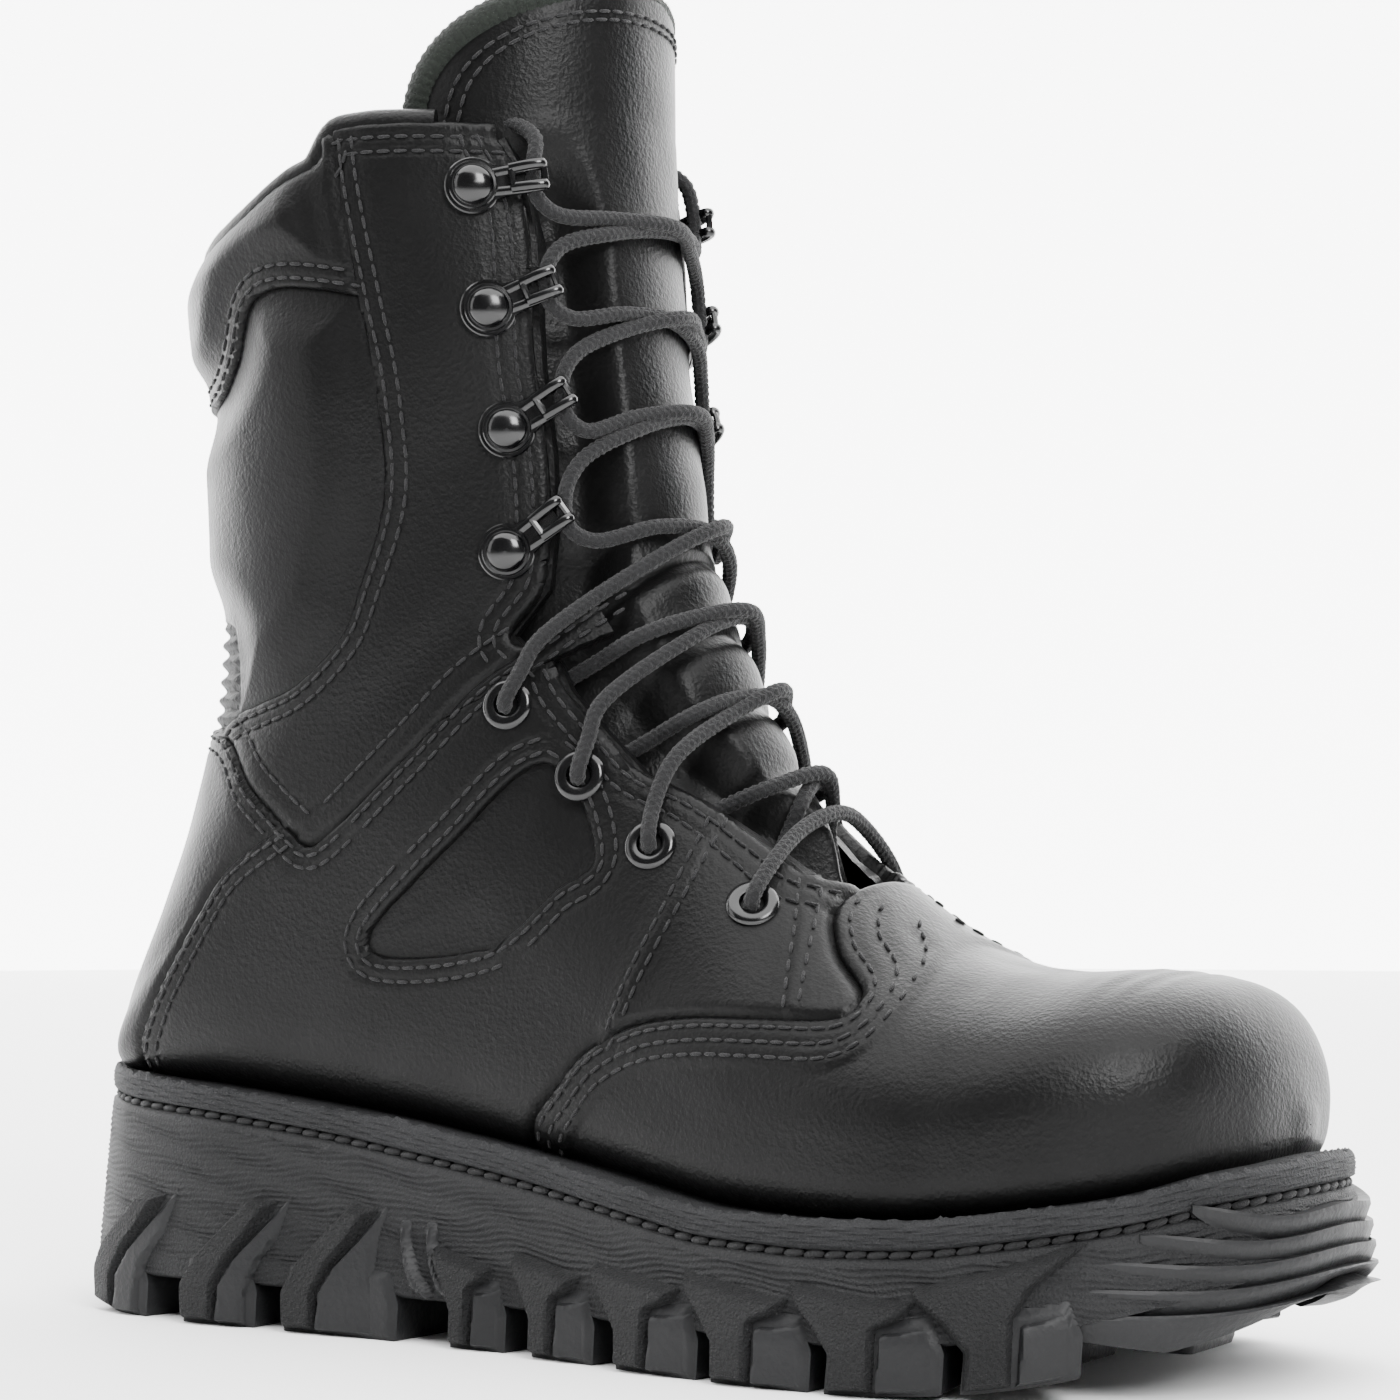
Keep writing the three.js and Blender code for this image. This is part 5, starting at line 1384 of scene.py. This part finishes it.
def toe_scales():
    """Overlapping moulded scales that sweep round the toe, each standing out most along its upper edge."""
    parts = []
    for k in range(SCALES):
        index = np.where(LOOP[:, 0] > SCALE_TIPS[0] + SCALE_TIPS[1] * k)[0]
        share = np.linspace(0, 1, len(index))
        bulge = np.sin(np.pi * share) ** 0.75
        ends, middle = SCALE_END + SCALE_END_STEP * k, SCALE_MIDDLE + SCALE_MIDDLE_STEP * k
        ridge = ends + (middle - ends) * bulge - 1.5 * np.sin(2 * np.pi * share) ** 2
        under = np.maximum(ridge - 1.5 - 8.5 * bulge, LOOP_GROUND[index] + 0.8)
        rows = []
        for f in SCALE_STEPS:
            out = WALL_NECK + (FLARE - WALL_NECK) * (0.15 + 0.75 * bulge) * min(1, 0.5 + f)
            out = out + SCALE_RISE * bulge * f**1.3
            out = out - 0.4 * k * bulge - 0.6 * max(0.0, f - 0.87) / 0.13
            plan = LOOP[index] + LOOP_OUT[index] * out[:, None]
            rows.append(np.column_stack([plan, under + (ridge - under) * f]))
        back = [np.column_stack([LOOP[index] - LOOP_OUT[index] * 4, z]) for z in (ridge - 0.6, under)]
        rings = rows + back
        points = np.vstack(rings)
        count = len(index)
        faces = [grid_faces(len(rings) + 1, count)[: len(rings) * (count - 1)] % (len(rings) * count)]
        for column in (0, count - 1):
            cap = [row * count + column for row in range(len(rings))]
            faces.append(np.array([cap if column else cap[::-1]]))
        parts.append((points, faces))
    return parts


def tread_floor():
    """The outsole's underside between the lugs, closed across the boot."""
    foot = LOOP_GROUND + TREAD - 3.9
    half = OUTLINE_POINTS // 2
    left = loop_ring(-4.0, foot)[:half]
    right = loop_ring(-4.0, foot)[half:][::-1]
    rings = [left * (1 - s) + right * s for s in np.linspace(0, 1, 12)]
    points = np.vstack(rings)
    return points, [grid_faces(12, half)]


def middle_lugs():
    """The blocks under the middle of the sole, and the one at the back of the heel."""
    blocks = []
    for x in MIDDLE_LUGS:
        low = ground(x + 6)
        foot = (x, x + 13, -11, 11, low, 0.7)
        blocks.append(rounded_stack([foot, (x - 0.5, x + 13.5, -12, 12, low + 1.5, 1),
                                     (x - 1, x + 14, -13, 13, low + TREAD, 1)]))
    low = ground(-135)
    heel = [(-141, -128, -20, 19, low + 0.6, 1.5), (-143, -128, -22, 21, low + 3, 2),
            (-147, -126, -23, 22, low + TREAD, 3), (-148, -128, -19, 18, low + TREAD + 12, 3)]
    return blocks + [rounded_stack(heel)]


def outsole():
    wall = mesh_object("outsole_wall", *sidewall(), SOLE_RUBBER)
    finish_piece(wall, replaces=["outsole"])
    smooth_parts, stippled_parts = middle_lugs(), []
    for _, side, _ in SIDES:
        blocks, blades = side_lugs(side)
        smooth_parts += blocks
        stippled_parts += blades
    for name, shape, material in (("outsole_floor", tread_floor(), SMOOTH_RUBBER),
                                  ("outsole_lugs", together(smooth_parts), SMOOTH_RUBBER),
                                  ("outsole_blades", together(stippled_parts), STIPPLE_RUBBER),
                                  ("outsole_toe_scales", together(toe_scales()), SMOOTH_RUBBER)):
        finish_piece(mesh_object(name, *shape, material, 40))


# ---------- the lace, along the CAD route ----------
EDGE_CLEAR = 0.036  # how far inside the throat's edge the lace dips under it
CROSS_HALF = 0.048  # on its way across, the lace bears on the tongue here
HOOK_REACH = 11.8 / 330  # from a hook's button to its bend, as a share of a rib's girth
UNDER = -8.0  # behind the lace facing
THROUGH = (-6.2, 2.6)  # the two ends of an eyelet's bore
OVER = 2.4
LACE_R = 1.5


def throat_at(u):
    return float(np.interp(u, *THROAT_HALF.T))


def out_of_eyelet(spot, side):
    u, v = spot
    return [(u - 0.1, side * (v - 0.006), UNDER - 0.3),
            (u, side * v, THROUGH[0]),
            (u, side * v, THROUGH[1] + 0.9),
            (u + 0.22, side * (v - 0.016), OVER + 1.6),
            (u + 0.45, side * (throat_at(u + 0.4) - 0.002), OVER + 1.4)]


def under_facing(u, side):
    edge = throat_at(u)
    return [(u - 0.3, side * (edge - EDGE_CLEAR - 0.012), 0.7),
            (u - 0.15, side * (edge - 0.022), -5.2),
            (u, side * (edge + 0.012), UNDER)]


def round_hook(spot, side):
    u, v = spot
    bend = v - HOOK_REACH
    return [(u - 0.75, side * (bend - 0.012), 2.0), (u - 0.3, side * bend, 2.9),
            (u + 0.3, side * bend, 2.9), (u + 0.75, side * (bend - 0.012), 2.0)]


def strand(side, lift):
    e1, e2, e3, e4 = EYELETS
    h1, h2, h3, h4 = HOOKS

    def cross(start, end, to_side):
        return [(start + 0.27 * (end - start), -to_side * CROSS_HALF, 1.4), ((start + end) / 2, 0, lift),
                (start + 0.73 * (end - start), to_side * CROSS_HALF, 1.4)]

    return [
        (7.1, side * 0.05, 2.6),
        (e4[0] + 0.1, side * (e4[1] - 0.02), OVER + 1.8),
        (e4[0], side * e4[1], THROUGH[1] + 0.9),
        (e4[0], side * e4[1], THROUGH[0]),
        (e4[0] + 0.1, side * (e4[1] - 0.003), UNDER - 0.3),
        (e4[0] + 0.4, side * (throat_at(7.2) - 0.022), -5.2),
        (e4[0] + 0.6, side * (throat_at(7.4) - EDGE_CLEAR - 0.012), 0.7),
        (7.56, 0, lift),
        *under_facing(e3[0] - 0.05, -side), *out_of_eyelet(e3, -side),
        *cross(8.45, 8.8, side), *under_facing(e2[0] - 0.02, side), *out_of_eyelet(e2, side),
        *cross(9.55, 10.1, -side), *under_facing(e1[0] - 0.02, -side), *out_of_eyelet(e1, -side),
        *cross(10.85, 12.05, side), *round_hook(h4, side),
        *cross(13.55, 14.05, -side), *round_hook(h3, -side),
        *cross(15.55, 16.35, side), *round_hook(h2, side),
        *cross(17.85, 18.55, -side), *round_hook(h1, -side)[:3],
        (20.2, -side * 0.1, 1.0), (20.6, -side * 0.112, -4.5), (20.3, -side * 0.15, -7.8),
        (19.6, -side * 0.17, -7.8), (17.5, -side * 0.17, -7.7), (15.2, -side * 0.17, -7.7),
    ]


def lace():
    route = strand(1, 1.5)[::-1] + [(7.15, 0, 3.0)] + strand(-1, 4.9)
    u, v, height = np.array(route, float).T
    v = np.where(v == 0, 0.001, v)
    path = spline(raised(u, v, height), 0.5)

    def braid(angle, distance):
        twist = distance * 2 * np.pi / 5.2
        a, b = np.sin(4 * angle + 3 * twist), np.sin(4 * angle - 3 * twist)
        return 1 + 0.17 * np.maximum(a, b) + 0.04 * np.sin(8 * angle)

    points, faces = swept(path, LACE_R, 28, braid)
    finish_piece(mesh_object("lace_braid", points, faces, LACE_CLOTH, 80), replaces=["lace"])


# ---------- carried-over CAD pieces ----------
def dress_cad():
    for material, names in ((BOARD, ("insole_board", "heel_stiffener", "puncture_plate")),
                            (STEEL, ("safety_toe_cap", "shank")),
                            (LEATHER, ("lace_facing_outer", "lace_facing_inner"))):
        for name in names:
            set_finish(name, material)
    for side_name, _, _ in SIDES:
        for i in range(1, 5):
            set_finish(f"rivet_cap_{side_name}_{i}", BLACK_METAL)


def set_finish(name, material):
    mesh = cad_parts[name].data
    mesh.materials.clear()
    mesh.materials.append(material)


# ---------- stage, light and camera ----------
CAMERA_TURN = 31.7  # degrees the camera is turned from looking along +Y
CAMERA_TILT = 1.9
FLOOR_HALF = 6.0
PAPER = (0.9, 0.9, 0.9)


def stage_piece(name, points, faces, material):
    mesh = bpy.data.meshes.new(name)
    mesh.from_pydata(points, [], faces)
    mesh.materials.append(material)
    obj = bpy.data.objects.new(name, mesh)
    bpy.context.scene.collection.objects.link(obj)


def stage():
    corners = [(x * FLOOR_HALF, y * FLOOR_HALF, 0) for x, y in ((-1, -1), (1, -1), (1, 1), (-1, 1))]
    material, _, _ = new_material("floor_paper", PAPER, 0.9, specular=0.1)
    stage_piece("floor", corners, [(0, 1, 2, 3)], material)
    world = bpy.data.worlds.new("studio")
    world.use_nodes = True
    background = world.node_tree.nodes["Background"]
    background.inputs["Color"].default_value = (1.0, 1.0, 1.0, 1)
    background.inputs["Strength"].default_value = 0.22
    bpy.context.scene.world = world


def backdrop():
    """A bright paper wall in an arc behind the boot."""
    radius, height, count, spread = 2.3, 2.6, 48, 75
    middle = 90 + CAMERA_TURN
    angle = np.radians(np.linspace(middle - spread, middle + spread, count))
    low = [(radius * math.cos(a), radius * math.sin(a), -0.01) for a in angle]
    high = [(x, y, height) for x, y, _ in low]
    material, _, shader = new_material("backdrop_paper", PAPER, 0.9, specular=0.0)
    shader.inputs["Emission Color"].default_value = (1, 1, 1, 1)
    shader.inputs["Emission Strength"].default_value = 4.4
    faces = [(i, i + 1, count + i + 1, count + i) for i in range(count - 1)]
    stage_piece("backdrop", low + high, faces, material)


def softbox(name, place, target, size, power):
    light = bpy.data.lights.new(name, "AREA")
    light.shape = "RECTANGLE"
    light.size, light.size_y = size
    light.energy = power
    obj = bpy.data.objects.new(name, light)
    obj.location = place
    obj.rotation_euler = (Vector(target) - Vector(place)).to_track_quat("-Z", "Y").to_euler()
    bpy.context.scene.collection.objects.link(obj)


def lights():
    softbox("top", (0.1, 0.0, 1.9), (0.0, 0, 0.0), (3.2, 3.2), 190)
    softbox("key", (1.2, -0.75, 0.95), (0.03, 0, 0.1), (0.6, 0.7), 34)
    softbox("fill", (-1.1, -1.2, 0.7), (-0.02, 0, 0.15), (0.8, 1.2), 9)


def camera():
    data = bpy.data.cameras.new("camera")
    data.lens = 89.25
    data.sensor_width = 36
    data.shift_x = 0.0186
    data.shift_y = 0.0229
    obj = bpy.data.objects.new("camera", data)
    obj.location = Vector((0.403, -0.6526, 0.106)) + Vector(SHIFT)
    obj.rotation_euler = (math.radians(90 + CAMERA_TILT), 0, math.radians(CAMERA_TURN))
    bpy.context.scene.collection.objects.link(obj)
    bpy.context.scene.camera = obj


camera()
stage()
backdrop()
lights()
dress_cad()
leather_panels()
all_stitches()
hardware()
tongue()
binding()
gussets()
lining()
collar_rim()
footbed()
welt()
welt_stitches()
midsole()
outsole()
lace()
